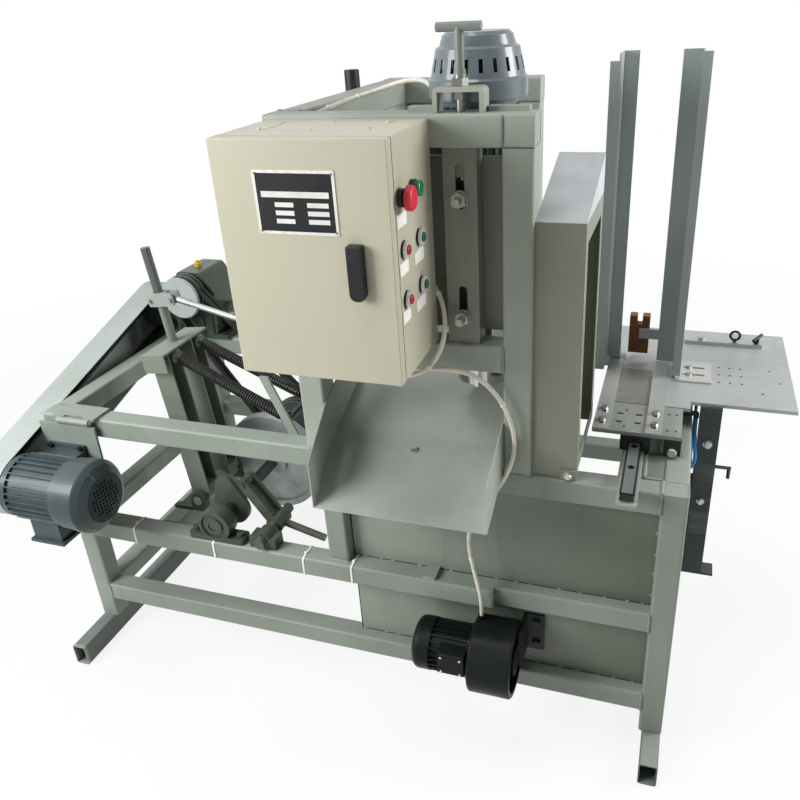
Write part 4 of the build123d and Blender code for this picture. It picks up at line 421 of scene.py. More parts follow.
finishSet = {
    "framePaint": coats(
        paint(paintSet["frame"]),
        on(paint((100, 108, 104), mottle=0.7, dust=0.5), ((-780, -120, -1), (780, 820, 60))),  # runners
        on(cast(paintSet["castGrey"]), ((-503, 88, 397), (-400, 280, 455))),  # the arm's pivot
        on(cast(paintSet["black"], oil=0.3, rough=0.45), ((433.5, -37, 217), (482, 29.7, 319))),
        on(steel(paintSet["darkSteel"], (4, 4, 260), stain=0.5), ((-140, 50.5, 700), (-90, 198.5, 750))),
        nodes=["base_frame"]),
    "panelPaint": coats(
        paint(paintSet["panel"], mottle=0.7),
        # painted shade: the panels' paint darkens from x 60 to 620 mm, standing in for the light falling off
        # towards the right
        fading(paint((104, 111, 98), mottle=0.7), 60, 620),
        on(plastic((30, 32, 28)),  # painted shade: dark strips along the sheets' edges stand in for the shadow in the gaps at the rails and the inner post
           ((30, 29.9, 397), (700, 30.1, 399)), ((30, 29.9, 170), (700, 30.1, 172)),
           ((30, 29.9, 397), (33, 30.1, 645)), ((30, 29.9, 170), (32.4, 30.1, 347))), bump=0.22, depth=0.002,
        nodes=["sheet_panels"]),
    "towerPaint": coats(
        paint((158, 165, 155), mottle=0.6),
        on(cast(paintSet["black"], oil=0.3, rough=0.4), ((-80, 430, 1285), (-38.9, 480, 1425))),
        nodes=["tower_frame"]),
    "armPaint": coats(paint((120, 127, 116), mottle=0.8), nodes=["swing_arm"]),
    "channelPaint": coats(paint((132, 136, 125), mottle=0.8), nodes=["slot_channel", "motor_carriage"]),
    "chutePaint": coats(paint((166, 173, 165), mottle=0.8), bump=0.2, depth=0.001,
        nodes=["discharge_chute"]),
    "hoodPaint": coats(
        paint((135, 139, 124), mottle=0.6),
        # the hood's sloped top in a paler grey: partly its own lighter, scuffed finish, partly a painted
        # highlight for the light and sheen it catches from above
        on(paint((202, 207, 211), mottle=0.8, dust=0.0, rough=0.38), ((449, 12, 1203.5), (539, 257, 1278))),
        bump=0.2, depth=0.001, nodes=["cutter_hood"]),
    "cabinetPaint": coats(
        paint(paintSet["cabinet"], mottle=0.14, dust=0.12, rough=0.4, dustColor=(178, 175, 158)),
        on(plastic((74, 72, 62), rough=0.6), ((-30, -180.8, 970), (272, -178.6, 1380))),  # painted shade: a dark stripe along the door's seam stands in for the shadow in the narrow gap
        bump=0.06, coat=0.2, shine=0.4, nodes=["cabinet_body", "cabinet_door"]),
    "cowlPaint": coats(
        paint(paintSet["slate"], mottle=0.35, dust=0.25, rough=0.38, dustColor=(134, 142, 146)), coat=0.45,
        nodes=["fan_cowl"]),
    "motorPaint": coats(cast(paintSet["slate"], oil=0.4, rough=0.4), nodes=["spindle_motor"]),
    "driveMotorPaint": coats(
        cast(paintSet["slateDark"], oil=0.5, rough=0.42),
        on(paint((47, 60, 62), mottle=0.4, dust=0.2, rough=0.4), ((-597, -200, 460), (-518, -10, 650))),
        coat=0.15, nodes=["drive_motor"]),
    "gearBlack": coats(cast(paintSet["black"], oil=0.3, rough=0.42, oilColor=(12, 13, 14)), shine=0.12,
        nodes=["gear_motor"]),
    "reducerGreen": coats(
        cast(paintSet["castGreen"], oil=0.55, rough=0.36),
        on(plastic((196, 158, 32)), ((-650, 545, 893.3), (-618, 575, 912))), coat=0.2,  # the breather plug
        nodes=["worm_reducer"]),
    "castingGrey": coats(cast(paintSet["castGrey"], oil=0.5, rough=0.45), nodes=["pillow_blocks"]),
    "leverPaint": coats(cast((82, 88, 77), oil=0.55, rough=0.42), nodes=["follower_lever"]),
    "columnPaint": coats(
        paint(paintSet["column"], mottle=0.5, dust=0.3, rough=0.4, dustColor=(96, 103, 103)),
        on(steel(paintSet["darkSteel"], (4, 4, 260), stain=0.5),  # the clamp levers
           ((768, 280, 410), (850, 310, 470)), ((768, 280, 555), (850, 310, 600))), nodes=["table_column"]),
    "hangerPaint": coats(paint((132, 140, 133), mottle=0.6, dust=0.4),
        nodes=["motor_hanger", "motor_hinge"]),
    "guardPaint": coats(paint((163, 171, 168), mottle=0.7, dust=0.3), bump=0.2, depth=0.001,
        nodes=["belt_guard"]),
    "tableSteel": coats(
        steel((168, 172, 172), (26, 60, 60), stain=0.25, rough=0.4, metal=0.3, lines=0.16),
        # painted shade and reflection: a darker patch between the strips stands in for the magazine's shadow
        # and its dark reflection there
        on(steel((136, 138, 130), (26, 60, 60), stain=0.3, metal=0.35, lines=0.2),
           ((584.4, 254.5, 747), (655.6, 432, 748.2))), nodes=["feed_table"]),
    "plateSteel": coats(
        steel((152, 156, 150), (90, 18, 90), rough=0.36, metal=0.35, lines=0.25),
        on(steel((176, 179, 175), (90, 18, 90), stain=0.3, rough=0.36, metal=0.35, lines=0.25),
           ((550, 126, 748.4), (690, 478, 753))), nodes=["carriage_plate"]),
    "railSteel": coats(
        steel((38, 41, 42), (240, 3, 240), rough=0.4, metal=0.6),
        on(paint((150, 156, 146), mottle=0.6, dust=0.3), ((623, -60, 694), (653, 522, 704))),  # its foot
        on(steel((112, 117, 116), (240, 3, 240), stain=0.3, rough=0.36, metal=0.4),  # its top
           ((628, -60, 720.5), (648, 522, 722))), nodes=["linear_rail"]),
    "blockSteel": coats(steel(paintSet["darkSteel"], (240, 3, 240), rough=0.3), nodes=["rail_block"]),
    "chrome": coats(
        steel((104, 108, 106), (90, 90, 4), rough=0.2),
        on(paint((118, 124, 117), mottle=0.5, dust=0.2), ((-520, 150, 825), (-440, 212, 926))),
        nodes=["stroke_rod"]),
    "shaftSteel": coats(steel(paintSet["satinSteel"], (4, 160, 160), stain=0.5, rough=0.3),
        nodes=["spindle"]),
    "screwSteel": coats(
        steel((120, 121, 115), (160, 160, 6), stain=0.6, rough=0.34),
        on(paint((122, 128, 122), mottle=0.6, dust=0.2, rough=0.4), ((220, 0, 1440), (420, 200, 1530))),
        nodes=["lift_screw"]),
    "studSteel": coats(
        steel((150, 149, 140), (160, 6, 160), stain=0.6, rough=0.36),
        bump=0.5, depth=0.0008, threads={"axis": "Y", "pitch": 0.002}, nodes=["clamp_studs"]),
    "zinc": coats(
        steel(paintSet["zincSteel"], rough=0.3),
        on(steel((58, 61, 61), rough=0.4), ((445, 10, 220), (480, 30, 315))),
        nodes=["strip_bolts", "frame_bolts"]),
    "blackBolt": coats(steel((40, 42, 43), rough=0.4, metal=0.6)),
    "pistonSteel": coats(
        steel(paintSet["chromeSteel"], (90, 4, 90), stain=0.2, rough=0.16),
        on(steel((58, 61, 62), rough=0.4, metal=0.7), ((692, 136, 698), (730, 158, 742))),  # the end block
        nodes=["piston_rod"]),
    "cylinderAlloy": coats(
        steel((168, 171, 172), (90, 4, 90), stain=0.3, rough=0.36, metal=0.85),
        on(plastic((30, 32, 36)), ((728.5, 290, 690), (766, 380, 722))),  # the hose fittings
        nodes=["air_cylinder"]),
    "cutterSteel": coats(steel(paintSet["brightSteel"], (120, 120, 4), stain=0.3, rough=0.22),
        nodes=["cutter_head"]),
    "pulleyIron": coats(cast(paintSet["wheelIron"], oil=0.5, rough=0.4),
        nodes=["drive_pulley", "worm_pulley"]),
    "pulleyBright": coats(
        cast((92, 96, 94), oil=0.4, rough=0.4),
        on(paint((166, 172, 174), mottle=0.3, dust=0.0, rough=0.34), ((-700, 440, 770), (-570, 452.3, 900))),
        nodes=["output_pulley"]),
    "camshaftSteel": coats(  # shaft, then cam, large wheel and pulley
        steel((94, 98, 94), (160, 5, 160), stain=0.6, rough=0.36),
        on(cast((80, 87, 76), oil=0.55, rough=0.42), ((-410, 73, 340), (-250, 106.5, 540))),
        on(steel((170, 176, 175), (40, 40, 40), stain=0.5, rough=0.4, metal=0.3),
           ((-460, 284, 290), (-170, 316, 590))),
        on(cast(paintSet["wheelIron"], oil=0.5, rough=0.4), ((-420, 451, 330), (-210, 493, 545))),
        nodes=["camshaft"]),
    "clampIron": coats(paint((150, 156, 152), mottle=0.5, dust=0.2, rough=0.36), nodes=["rod_clamp"]),
    "pullRodSteel": coats(steel((148, 151, 148), (5, 120, 120), rough=0.3, metal=0.7), nodes=["pull_rod"]),
    "springSteel": coats(steel((58, 60, 57), (50, 50, 50), stain=0.7, rough=0.4, metal=0.7),
        nodes=["return_springs"]),
    "clampBarSteel": coats(
        steel((182, 184, 180), (3, 200, 200), rough=0.3, metal=0.8),
        on(steel((44, 46, 47), rough=0.36, metal=0.7),  # hook and lever
           ((820, 590, 757.8), (860, 640, 800)), ((874, 590, 757.8), (906, 645, 800))),
        nodes=["clamp_bar"]),
    "magazinePaint": coats(
        paint((172, 182, 181), mottle=0.6, dust=0.3),
        on(steel(paintSet["brightSteel"], (3, 120, 120), stain=0.5, rough=0.34, metal=0.8),  # foot bracket
           ((704, 380, 744), (790, 500, 753))),
        on(paint((108, 114, 106), mottle=0.7, dust=0.3), ((610, 480.2, 800), (700, 487, 835))),
        nodes=["magazine_left", "magazine_right"]),
    "bridgePaint": coats(paint((162, 165, 154), mottle=0.8, dust=0.5), nodes=["screw_bridge"]),
    "blackPlastic": coats(plastic(paintSet["blackPlastic"], 700, rough=0.34), nodes=["door_latch"]),
    "redCap": coats(plastic((178, 28, 44), 700, rough=0.26), bump=0.05, coat=0.3,
        nodes=["red_button_upper", "red_button_lower"]),
    "stopRed": coats(
        plastic((208, 48, 66), 700, rough=0.34),
        on(plastic(paintSet["blackPlastic"]), ((240, -190, 1250), (284.4, -130, 1310))), bump=0.05,
        nodes=["stop_button"]),
    "greenCap": coats(plastic((14, 84, 58), 700, rough=0.26), bump=0.05, coat=0.3,
        nodes=["green_button_upper", "green_button_lower"]),
    "lampGreen": coats(
        plastic((18, 112, 70), 700, rough=0.18),
        on(plastic(paintSet["blackPlastic"], 700, rough=0.3), ((240, -130, 1260), (279.05, -80, 1310))),
        bump=0.05, coat=0.5, nodes=["lamp_lens"]),
    "bezelChrome": coats(
        steel((216, 218, 216), stain=0.15, rough=0.3, metal=0.4),
        on(plastic((26, 28, 30)),  # the bezels' backs and the stop's neck
           ((240, -200, 1000), (274.8, -20, 1360)), ((240, -176, 1262), (280, -140, 1298))),
        on(plastic((232, 232, 226), 500, rough=0.5),  # blank label plates
           ((271, -172, 1080), (271.9, -60, 1095)), ((271, -172, 1163), (271.9, -60, 1178)),
           ((271, -172, 1235), (271.9, -144, 1250))), nodes=["button_bezels"]),
    "fibreBoard": coats(board((126, 84, 40), (92, 58, 26), rough=0.5), nodes=["presser_block"]),
    "beltRubber": coats(plastic((28, 28, 28), 1200, rough=0.6), bump=0.3, nodes=["v_belts"]),
    "creamJacket": coats(plastic((222, 217, 202), rough=0.42),
        nodes=["spindle_cable", "gear_motor_cable", "roof_cable"]),
    "blueHose": coats(plastic((42, 138, 214), 600, rough=0.3), bump=0.05, coat=0.2, nodes=["air_hose"]),
    "whiteTie": coats(plastic((236, 235, 228), rough=0.45)),
    "plateBlack": plateCoats(),
}
finishes = {name: finish(name, **setting) for name, setting in finishSet.items()}
worn = [node for setting in finishSet.values() for node in setting.get("nodes", ())]
print("finishes made:", len(finishes), "on", len(worn), "of", len(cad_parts), "nodes")


def loftPiece(name, lofts, finishName, slotName, body="machine", closed=False, sharp=40.0):
    # Each loft is an array (ring, point, xyz): rings are joined by quads, open ends closed by flat caps,
    # and a loft whose faces would look in towards its rings' middles is turned round
    points, faces, start = [], [], 0
    for loft in lofts:
        rings, count = loft.shape[:2]
        across = np.roll(loft, -1, 1) - loft
        along = (np.roll(loft, -1, 0) - loft) if closed else np.diff(loft, axis=0)
        outward = np.cross(across[:len(along)], along)
        hub = loft.mean(1, keepdims=True)[:len(along)]
        if np.sum(outward * (loft[:len(along)] - hub)) < 0:
            loft = loft[:, ::-1]
        index = start + np.arange(rings * count).reshape(rings, count)
        lower, upper = (index, np.roll(index, -1, 0)) if closed else (index[:-1], index[1:])
        quads = np.stack([lower, np.roll(lower, -1, 1), np.roll(upper, -1, 1), upper], -1)
        faces += quads.reshape(-1, 4).tolist()
        if not closed:
            faces += [index[0, ::-1].tolist(), index[-1].tolist()]
        points.append(loft.reshape(-1, 3))
        start += rings * count
    mesh = bpy.data.meshes.new(name)
    mesh.from_pydata(np.concatenate(points).tolist(), [], faces)
    mesh.shade_smooth()
    mesh.set_sharp_from_angle(angle=np.radians(sharp))
    mesh.materials.append(finishes[finishName])
    piece = bpy.data.objects.new(name, mesh)
    scene.collection.objects.link(piece)
    if body:
        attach(piece, body)
    return piece


def axisFrame(axis):
    # Two directions across a given one
    third = np.asarray(axis, float) / np.linalg.norm(axis)
    helper = np.array([0.0, 0.0, 1.0]) if abs(third[2]) < 0.9 else np.array([1.0, 0.0, 0.0])
    first = np.cross(helper, third)
    first /= np.linalg.norm(first)
    return first, np.cross(third, first), third


def anglesRound(points):
    return np.linspace(0, 2 * np.pi, points, endpoint=False)


def unitCircle(points):
    # Cosine and sine of evenly spaced angles
    angle = anglesRound(points)
    return np.stack([np.cos(angle), np.sin(angle)], -1)


def turned(center, axis, radii, heights, points=24):
    # Rings round an axis: radii may be one number a ring, or one for each point of it
    first, second, third = axisFrame(axis)
    circle = unitCircle(points) @ np.stack([first, second])
    radii = np.stack([np.broadcast_to(radius, points) for radius in radii])
    return center + radii[..., None] * circle + np.asarray(heights)[:, None, None] * third


def hexRadius(flats, points=24):
    # Distance from the middle to a hexagon's edge at each angle
    return flats / 2 / np.cos((anglesRound(points) + np.pi / 6) % (np.pi / 3) - np.pi / 6)


def hexBolt(center, axis, size):
    # Washer, hexagon with its top corners rounded off, and a shallow crown
    head, washer, flats = 0.65 * size, 0.16 * size, 1.6 * size
    hexagon = hexRadius(flats)
    radii = [1.08 * size, 1.08 * size, hexagon, hexagon, 0.49 * flats, 0.40 * flats]
    heights = [0.0, washer, washer, washer + 0.82 * head, washer + head, washer + 1.04 * head]
    return turned(center, axis, radii, heights)


def socketScrew(center, axis, size):
    # Round head with a hexagon socket sunk in its top
    radius, head = 0.8 * size, 0.9 * size
    socket = hexRadius(0.85 * size)
    radii = [radius, radius, 0.93 * radius, socket, 0.98 * socket]
    return turned(center, axis, radii, [0.0, 0.88 * head, head, head, 0.45 * head])


def rivetHead(center, axis, size):
    # Low dome: radius falls with the cosine while the height grows with the sine
    bend = np.linspace(0, 0.47 * np.pi, 6)
    return turned(center, axis, list(size / 2 * np.cos(bend)), 0.42 * size * np.sin(bend), 16)


def carried(path, section, outward, closed=False):
    # A flat section (sideways, outwards) carried along a path with the way out given at each point
    ahead = np.roll(path, -1, 0) - np.roll(path, 1, 0) if closed else np.gradient(path, axis=0)
    ahead = ahead / np.linalg.norm(ahead, axis=1, keepdims=True)
    outward = np.broadcast_to(outward, path.shape)
    outward = outward - np.sum(outward * ahead, 1, keepdims=True) * ahead
    outward = outward / np.linalg.norm(outward, axis=1, keepdims=True)
    side = np.cross(ahead, outward)
    section = np.asarray(section)
    if section.ndim == 2:
        section = np.broadcast_to(section, (len(path), *section.shape))
    return path[:, None] + section[..., :1] * side[:, None] + section[..., 1:] * outward[:, None]


rng = np.random.default_rng(7)
weldSet = {
    "width": 0.0075, "rise": 0.0026, "pitch": 0.0042, "ripple": 0.14, "wander": 0.18,
    # Joints of the tubes, each given as two ends and the way the bead faces
    "joints": (
        ((700, 0, 646), (700, 0, 694), toFront), ((700, 2, 695), (700, 48, 695), up),
        ((700, 0, 348), (700, 0, 396), toFront), ((700, 0, 121), (700, 0, 169), toFront),
        ((-700, 0, 121), (-700, 0, 169), toFront), ((-700, 2, 170), (-700, 48, 170), upLeft),
        ((395, 0, 1329), (395, 0, 1380), toFront), ((397, 55, 1327), (448, 55, 1327), (0, 0.7, -0.7)),
        ((396, 0, 695), (449, 0, 695), toFront), ((450, 2, 696), (450, 53, 696), upRight),
        ((-38, 0, 695), (15, 0, 695), toFront), ((-39, 2, 696), (-39, 53, 696), upLeft),
        ((395, 0, 917), (395, 0, 968), toFront), ((16, 0, 917), (16, 0, 968), toFront),
        ((-19, 0, 397), (29, 0, 397), (0, -0.7, 0.7)), ((-19, 0, 645), (29, 0, 645), toFront),
        ((-20, 4, 398), (-20, 34, 398), upLeft), ((372, -13, 397), (372, -1, 397), up),
        ((372, -15, 349), (372, -15, 395), (0.7, -0.7, 0)), ((664, 52, 695), (664, 330, 695), up),
        ((664, 50, 695), (698, 50, 695), up), ((-452, 52, 397), (-452, 85, 397), upRight),
        ((-748, 0, 645), (-702, 0, 645), toFront), ((-38, 55, 1382), (15, 55, 1382), up)),
    "stitch": {"width": 0.0065, "panelY": 30, "rows": ((398.2, 42, 690), (171.2, 40, 690)), "pitch": 46,
               "shake": 14, "length": (5, 13), "way": (0, -0.8, 0.6)},
    "postStitch": {"x": 699, "low": 420, "high": 640, "pitch": 52,
                   "length": (7, 14), "way": (-0.6, -0.8, 0)},
}


def weldBead(start, end, outward, width=weldSet["width"]):
    # A low half-round section along a line, its size rippled like stacked coins and drawn in at both ends
    length = np.linalg.norm(end - start)
    along = np.linspace(0, 1, max(int(length / weldSet["pitch"] * 4), 12))
    ripple = 1 + weldSet["ripple"] * np.cos(2 * np.pi * along * length / weldSet["pitch"])
    wander = 1 + weldSet["wander"] * np.interp(along, np.linspace(0, 1, 9), rng.uniform(-1, 1, 9))
    ends = np.clip(np.minimum(along, 1 - along) * length / width * 1.6, 0.12, 1) ** 0.5
    across, rise = unitCircle(10).T
    section = np.stack([width / 2 * across, weldSet["rise"] * np.where(rise > 0, rise, 0.35 * rise)], -1)
    path = start + along[:, None] * (end - start)
    return carried(path, (ripple * wander * ends)[:, None, None] * section, outward)


def frameWelds():
    # The joints' beads, then short stitches along the panels' lower edges and up the right post
    beads = [weldBead(mm(*start), mm(*end), way) for start, end, way in weldSet["joints"]]
    stitch, post = weldSet["stitch"], weldSet["postStitch"]
    y, width, shake = stitch["panelY"], stitch["width"], stitch["shake"]
    for z, low, high in stitch["rows"]:
        places = np.arange(low, high, stitch["pitch"])
        for x in places + rng.uniform(-shake, shake, len(places)):
            end = mm(x + rng.uniform(*stitch["length"]), y, z)
            beads.append(weldBead(mm(x, y, z), end, stitch["way"], width))
    for z in np.arange(post["low"], post["high"], post["pitch"]):
        end = mm(post["x"], y, z + rng.uniform(*post["length"]))
        beads.append(weldBead(mm(post["x"], y, z), end, post["way"], width))
    return beads


loftPiece("frameWelds", frameWelds(), "framePaint", "frame_paint", sharp=80)

capShape = {"bevel": 0.001, "heights": (-0.0045, -0.0009, 0.0)}
capSet = {
    "frameCaps": {"half": 0.0222, "finish": "framePaint", "ends": (
        ((725, 25, 694.5), up), ((725, 675, 694.5), up), ((371.5, 10, 372), toRight),
        ((-749.5, 25, 670), toLeft), ((-749.5, 675, 670), toLeft),
        ((-749.5, 10, 372), toLeft), ((-749.5, 675, 372), toLeft))},
    "towerCaps": {"half": 0.0247, "finish": "towerPaint", "ends": (
        ((449.5, 27.5, 1354.5), toRight), ((346.5, 632.5, 1354.5), toRight),
        ((-38.5, 27.5, 1354.5), toLeft), ((-38.5, 632.5, 1354.5), toLeft))},
}


def tubeCap(spot, way, half):
    # Flat plate let into a tube's open end: its radius is half a side over the larger of cosine and sine
    outline = half / np.abs(unitCircle(24)).max(1)
    return turned(mm(*spot), way, [outline, outline, outline - capShape["bevel"]], capShape["heights"])


for name, setting in capSet.items():
    caps = [tubeCap(spot, way, setting["half"]) for spot, way in setting["ends"]]
    loftPiece(name, caps, setting["finish"], "frame_paint")

tackSet = {
    "sides": ((18.6, 19, upRight), (392.4, 0, upLeft)),  # each fold's x, how far its lip flares out, its way
    "low": -126, "high": 140, "pitch": 19.0, "length": 5.5, "climb": 2.4, "width": 0.005,
    "lip": 138, "lipZ": 648.6, "slope": 0.44, "shake": 3,
}


def chuteTacks():
    # Tack welds along the fold between the chute's floor and its walls
    tacks = []
    lip, shake = tackSet["lip"], tackSet["shake"]
    for side, flare, way in tackSet["sides"]:
        places = np.arange(tackSet["low"], tackSet["high"], tackSet["pitch"])
        for y in places + rng.uniform(-shake, shake, len(places)):
            z = tackSet["lipZ"] + tackSet["slope"] * (lip + y)
            ends = np.array([y, y + tackSet["length"]])
            x = side + flare * np.clip(-ends, 0, lip) / lip
            end = mm(x[1], ends[1], z + tackSet["climb"])
            tacks.append(weldBead(mm(x[0], ends[0], z), end, way, tackSet["width"]))
    return tacks


loftPiece("chuteTacks", chuteTacks(), "chutePaint", "frame_paint", sharp=80)
print("welds laid")

tieSet = {
    "places": (-553, -324, -82, 40), "width": 0.0048, "thick": 0.0013,
    "railY": 10, "railZ": 372, "railHalf": 0.0252, "corner": 0.0065, "lean": 0.0012,
    "lockY": 4, "lockZ": 397.2, "lock": (0.0075, 0.0075, 0.006), "lockHeights": (0.0, 0.0036, 0.0042),
}


def railTie(x):
    # A flat band round the middle rail: a square drawn in by the corner radius, plus a circle of that radius
    circle = unitCircle(64)
    corner, wide, thick = tieSet["corner"], tieSet["width"] / 2, tieSet["thick"]
    square = np.where(np.abs(circle) < 1e-9, 0.0, np.sign(circle) * (tieSet["railHalf"] - corner))
    lean = tieSet["lean"] * circle[:, 1:]
    path = mm(x, tieSet["railY"], tieSet["railZ"]) + np.concatenate([lean, square + corner * circle], 1)
    outward = np.concatenate([np.zeros_like(lean), circle], 1)
    section = [[-wide, 0], [wide, 0], [wide, 0.7 * thick], [0.8 * wide, thick], [-0.8 * wide, thick],
               [-wide, 0.7 * thick]]
    return carried(path, section, outward, True)


def tieLock(x):
    # Each band's lock: a small tapered hexagon on the rail's top edge
    spot = mm(x, tieSet["lockY"], tieSet["lockZ"])
    return turned(spot, up, [hexRadius(flats) for flats in tieSet["lock"]], tieSet["lockHeights"])


loftPiece("railTies", [railTie(x) for x in tieSet["places"]], "whiteTie", "plate", closed=True)
loftPiece("railTieHeads", [tieLock(x) for x in tieSet["places"]], "whiteTie", "plate")
print("rail ties done")

# Bolts of one body and finish: rows of x, y and z whose every crossing has a bolt, its way and its size
boltSet = {
    ("machine", "blackBolt", "dark_steel"): (
        ((-724, -544), (508, 624), (709,), up, 8), ((-520,), (582, 538), (775, 731), toRight, 6),
        ((700,), (446,), (948, 862), toRight, 8)),
    ("machine", "zinc", "bright_steel"): (
        ((522,), (6,), (706,), toFront, 8), ((203,), (13,), (714.4,), (0, -0.403, 0.915), 7),
        ((786,), (285,), (650,), toFront, 9), ((786,), (285,), (500,), toFront, 8)),
    ("hanger", "blackBolt", "dark_steel"): (((-726, -640), (-23,), (491, 622), toFront, 7),),
}

for (body, finishName, slotName), rows in boltSet.items():
    heads = [hexBolt(mm(*spot), way, size * 0.001) for *spans, way, size in rows for spot in product(*spans)]
    loftPiece(body + "Bolts_" + finishName, heads, finishName, slotName, body)

screwSet = {
    "rail": {"x": 638, "z": 715, "first": 42, "pitch": 80, "count": 6, "size": 0.0068},
    "gearBox": {"x": (285, 327), "y": -130, "z": (258, 296), "size": 0.006},
    "roof": {"z": 1375, "size": 0.008,
             "spots": ((21, -117), (114, -122), (210, -107), (115, -35), (217, -42))},
}


def addScrews():
    rail, gearBox, roof = screwSet["rail"], screwSet["gearBox"], screwSet["roof"]
    places = [mm(rail["x"], rail["first"] + rail["pitch"] * k, rail["z"]) for k in range(rail["count"])]
    loftPiece("railScrews", [socketScrew(place, up, rail["size"]) for place in places],
              "blackBolt", "dark_steel")
    places = [mm(x, gearBox["y"], z) for x, z in product(gearBox["x"], gearBox["z"])]
    loftPiece("gearBoxScrews", [rivetHead(place, toFront, gearBox["size"]) for place in places],
              "zinc", "bright_steel")
    loftPiece("cabinetRivets", [rivetHead(mm(x, y, roof["z"]), up, roof["size"]) for x, y in roof["spots"]],
              "cabinetPaint", "cabinet_paint")


addScrews()

seamSet = {"half": 0.0016, "rise": 0.0009, "corners": ((32, -122, 1375), (28, -39, 1375), (225, -36, 1375))}


def seamRidge(start, end):
    # A low folded seam on the cabinet's roof: a half-round ridge along a straight run
    across, rise = unitCircle(10).T
    ridge = np.stack([seamSet["half"] * across, seamSet["rise"] * np.maximum(rise, -0.3)], -1)
    return carried(np.linspace(start, end, 12), ridge, up)


seamSpots = [mm(*corner) for corner in seamSet["corners"]]
loftPiece("cabinetSeam", [seamRidge(*ends) for ends in zip(seamSpots, seamSpots[1:])],
          "cabinetPaint", "cabinet_paint")
print("fasteners placed")

stickerSet = {
    "side": 270.9, "thick": 0.0011,
    "places": ((-177, -134, 1235, 1256), (-177, -137, 1157, 1178), (-106, -59, 1155, 1175),
               (-177, -141, 1076, 1097), (-109, -60, 1072, 1093)),
}


def blankSticker(y0, y1, z0, z1):
    # Blank label on the cabinet's side: four corners, carried out by the label's thickness
    corners = mm(np.full(4, stickerSet["side"]), np.array([y0, y1, y1, y0]), np.array([z0, z0, z1, z1])).T
    return np.stack([corners, corners + np.array([stickerSet["thick"], 0.0, 0.0])])


loftPiece("labelStickers", [blankSticker(*place) for place in stickerSet["places"]], "whiteTie", "plate")

# The rail carried on past the base's front, its end cap and the flat bar below: half outlines and ends in y
railSet = {"x": 638, "z": 695}
railRuns = {
    "railNose": {"half": ((14, 0), (14, 9), (10, 13), (10, 18), (14, 22), (14, 26)), "start": 2, "end": -48,
                 "look": ("railSteel", "dark_steel")},
    "railNoseCap": {"half": ((12, 10), (12, 24)), "start": -48, "end": -52,
                    "look": ("blackPlastic", "dark_steel")},
    "railBar": {"half": ((19, 0), (19, 4.8), (18, 6)), "start": 515, "end": -54,
                "look": ("towerPaint", "frame_paint")},
}


def railRun(half, start, end):
    # Half an outline (sideways, up) mirrored to a whole one and carried straight along Y
    half = np.array(half) * 0.001
    outline = np.concatenate([half, half[::-1] * np.array([-1, 1])])
    path = np.stack([mm(railSet["x"], y, railSet["z"]) for y in (start, end)])
    return carried(path, outline, up)


for name, setting in railRuns.items():
    loftPiece(name, [railRun(setting["half"], setting["start"], setting["end"])], *setting["look"])
print("labels and rail end done")

latchSet = {"x": 210.0, "z": 1195.0, "face": -215.1, "radii": (8.4, 8.4, 8.0, 6.6, 6.4),
            "heights": (0.0, 0.7, 0.85, 0.85, 0.65)}


def latchBarrel():
    # Lock disc let into the paddle: a flat round turned about Y, with a bevelled rim standing a hair proud
    center = mm(latchSet["x"], latchSet["face"], latchSet["z"])
    radii, heights = np.array([latchSet["radii"], latchSet["heights"]]) * 0.001
    return turned(center, toFront, radii, heights, 32)


loftPiece("latchBarrel", [latchBarrel()], "blackPlastic", "dark_steel", "latch")
print("latch detailed")

springSet = {
    "wire": 0.005, "radius": 0.011, "turns": 46, "pointsPerTurn": 22, "held": 0.02,
    "arm": {"x": -425, "z": 430, "lean": 6.0, "reach": 378, "out": 34},
    "anchor": {"x": -130, "z": 724},
    "runs": ((140, 74), (236, 178)),  # y on the arm and at the anchor
}


def helixPath(start, end):
    # Points on a coil: the angle grows evenly while the point climbs the axis
    first, second, third = axisFrame(end - start)
    length, wireSize, turns = np.linalg.norm(end - start), springSet["wire"], springSet["turns"]
    step = np.linspace(0, 1, turns * springSet["pointsPerTurn"])
    angle = 2 * np.pi * turns * step
    way = np.cos(angle)[:, None] * first + np.sin(angle)[:, None] * second
    climb = wireSize + (length - 2 * wireSize) * step
    return start + springSet["radius"] * way + climb[:, None] * third, way


def armPoint(y):
    # A spot on the leaning arm, from its height along the arm and its reach across it
    arm = springSet["arm"]
    lean = np.radians(arm["lean"])
    x = arm["x"] + arm["out"] * np.cos(lean) - arm["reach"] * np.sin(lean)
    z = arm["z"] + arm["out"] * np.sin(lean) + arm["reach"] * np.cos(lean)
    return mm(x, y, z)


def addSprings():
    section = springSet["wire"] / 2 * unitCircle(10)
    for index, (armY, anchorY) in enumerate(springSet["runs"]):
        start, end = armPoint(armY), mm(springSet["anchor"]["x"], anchorY, springSet["anchor"]["z"])
        path, outward = helixPath(start, end)
        piece = loftPiece("returnSpring" + str(index + 1), [carried(path, section, outward)],
                          "springSteel", "dark_steel", None, sharp=80)
        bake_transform(piece)
    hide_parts("return_springs")


addSprings()
print("springs wound")

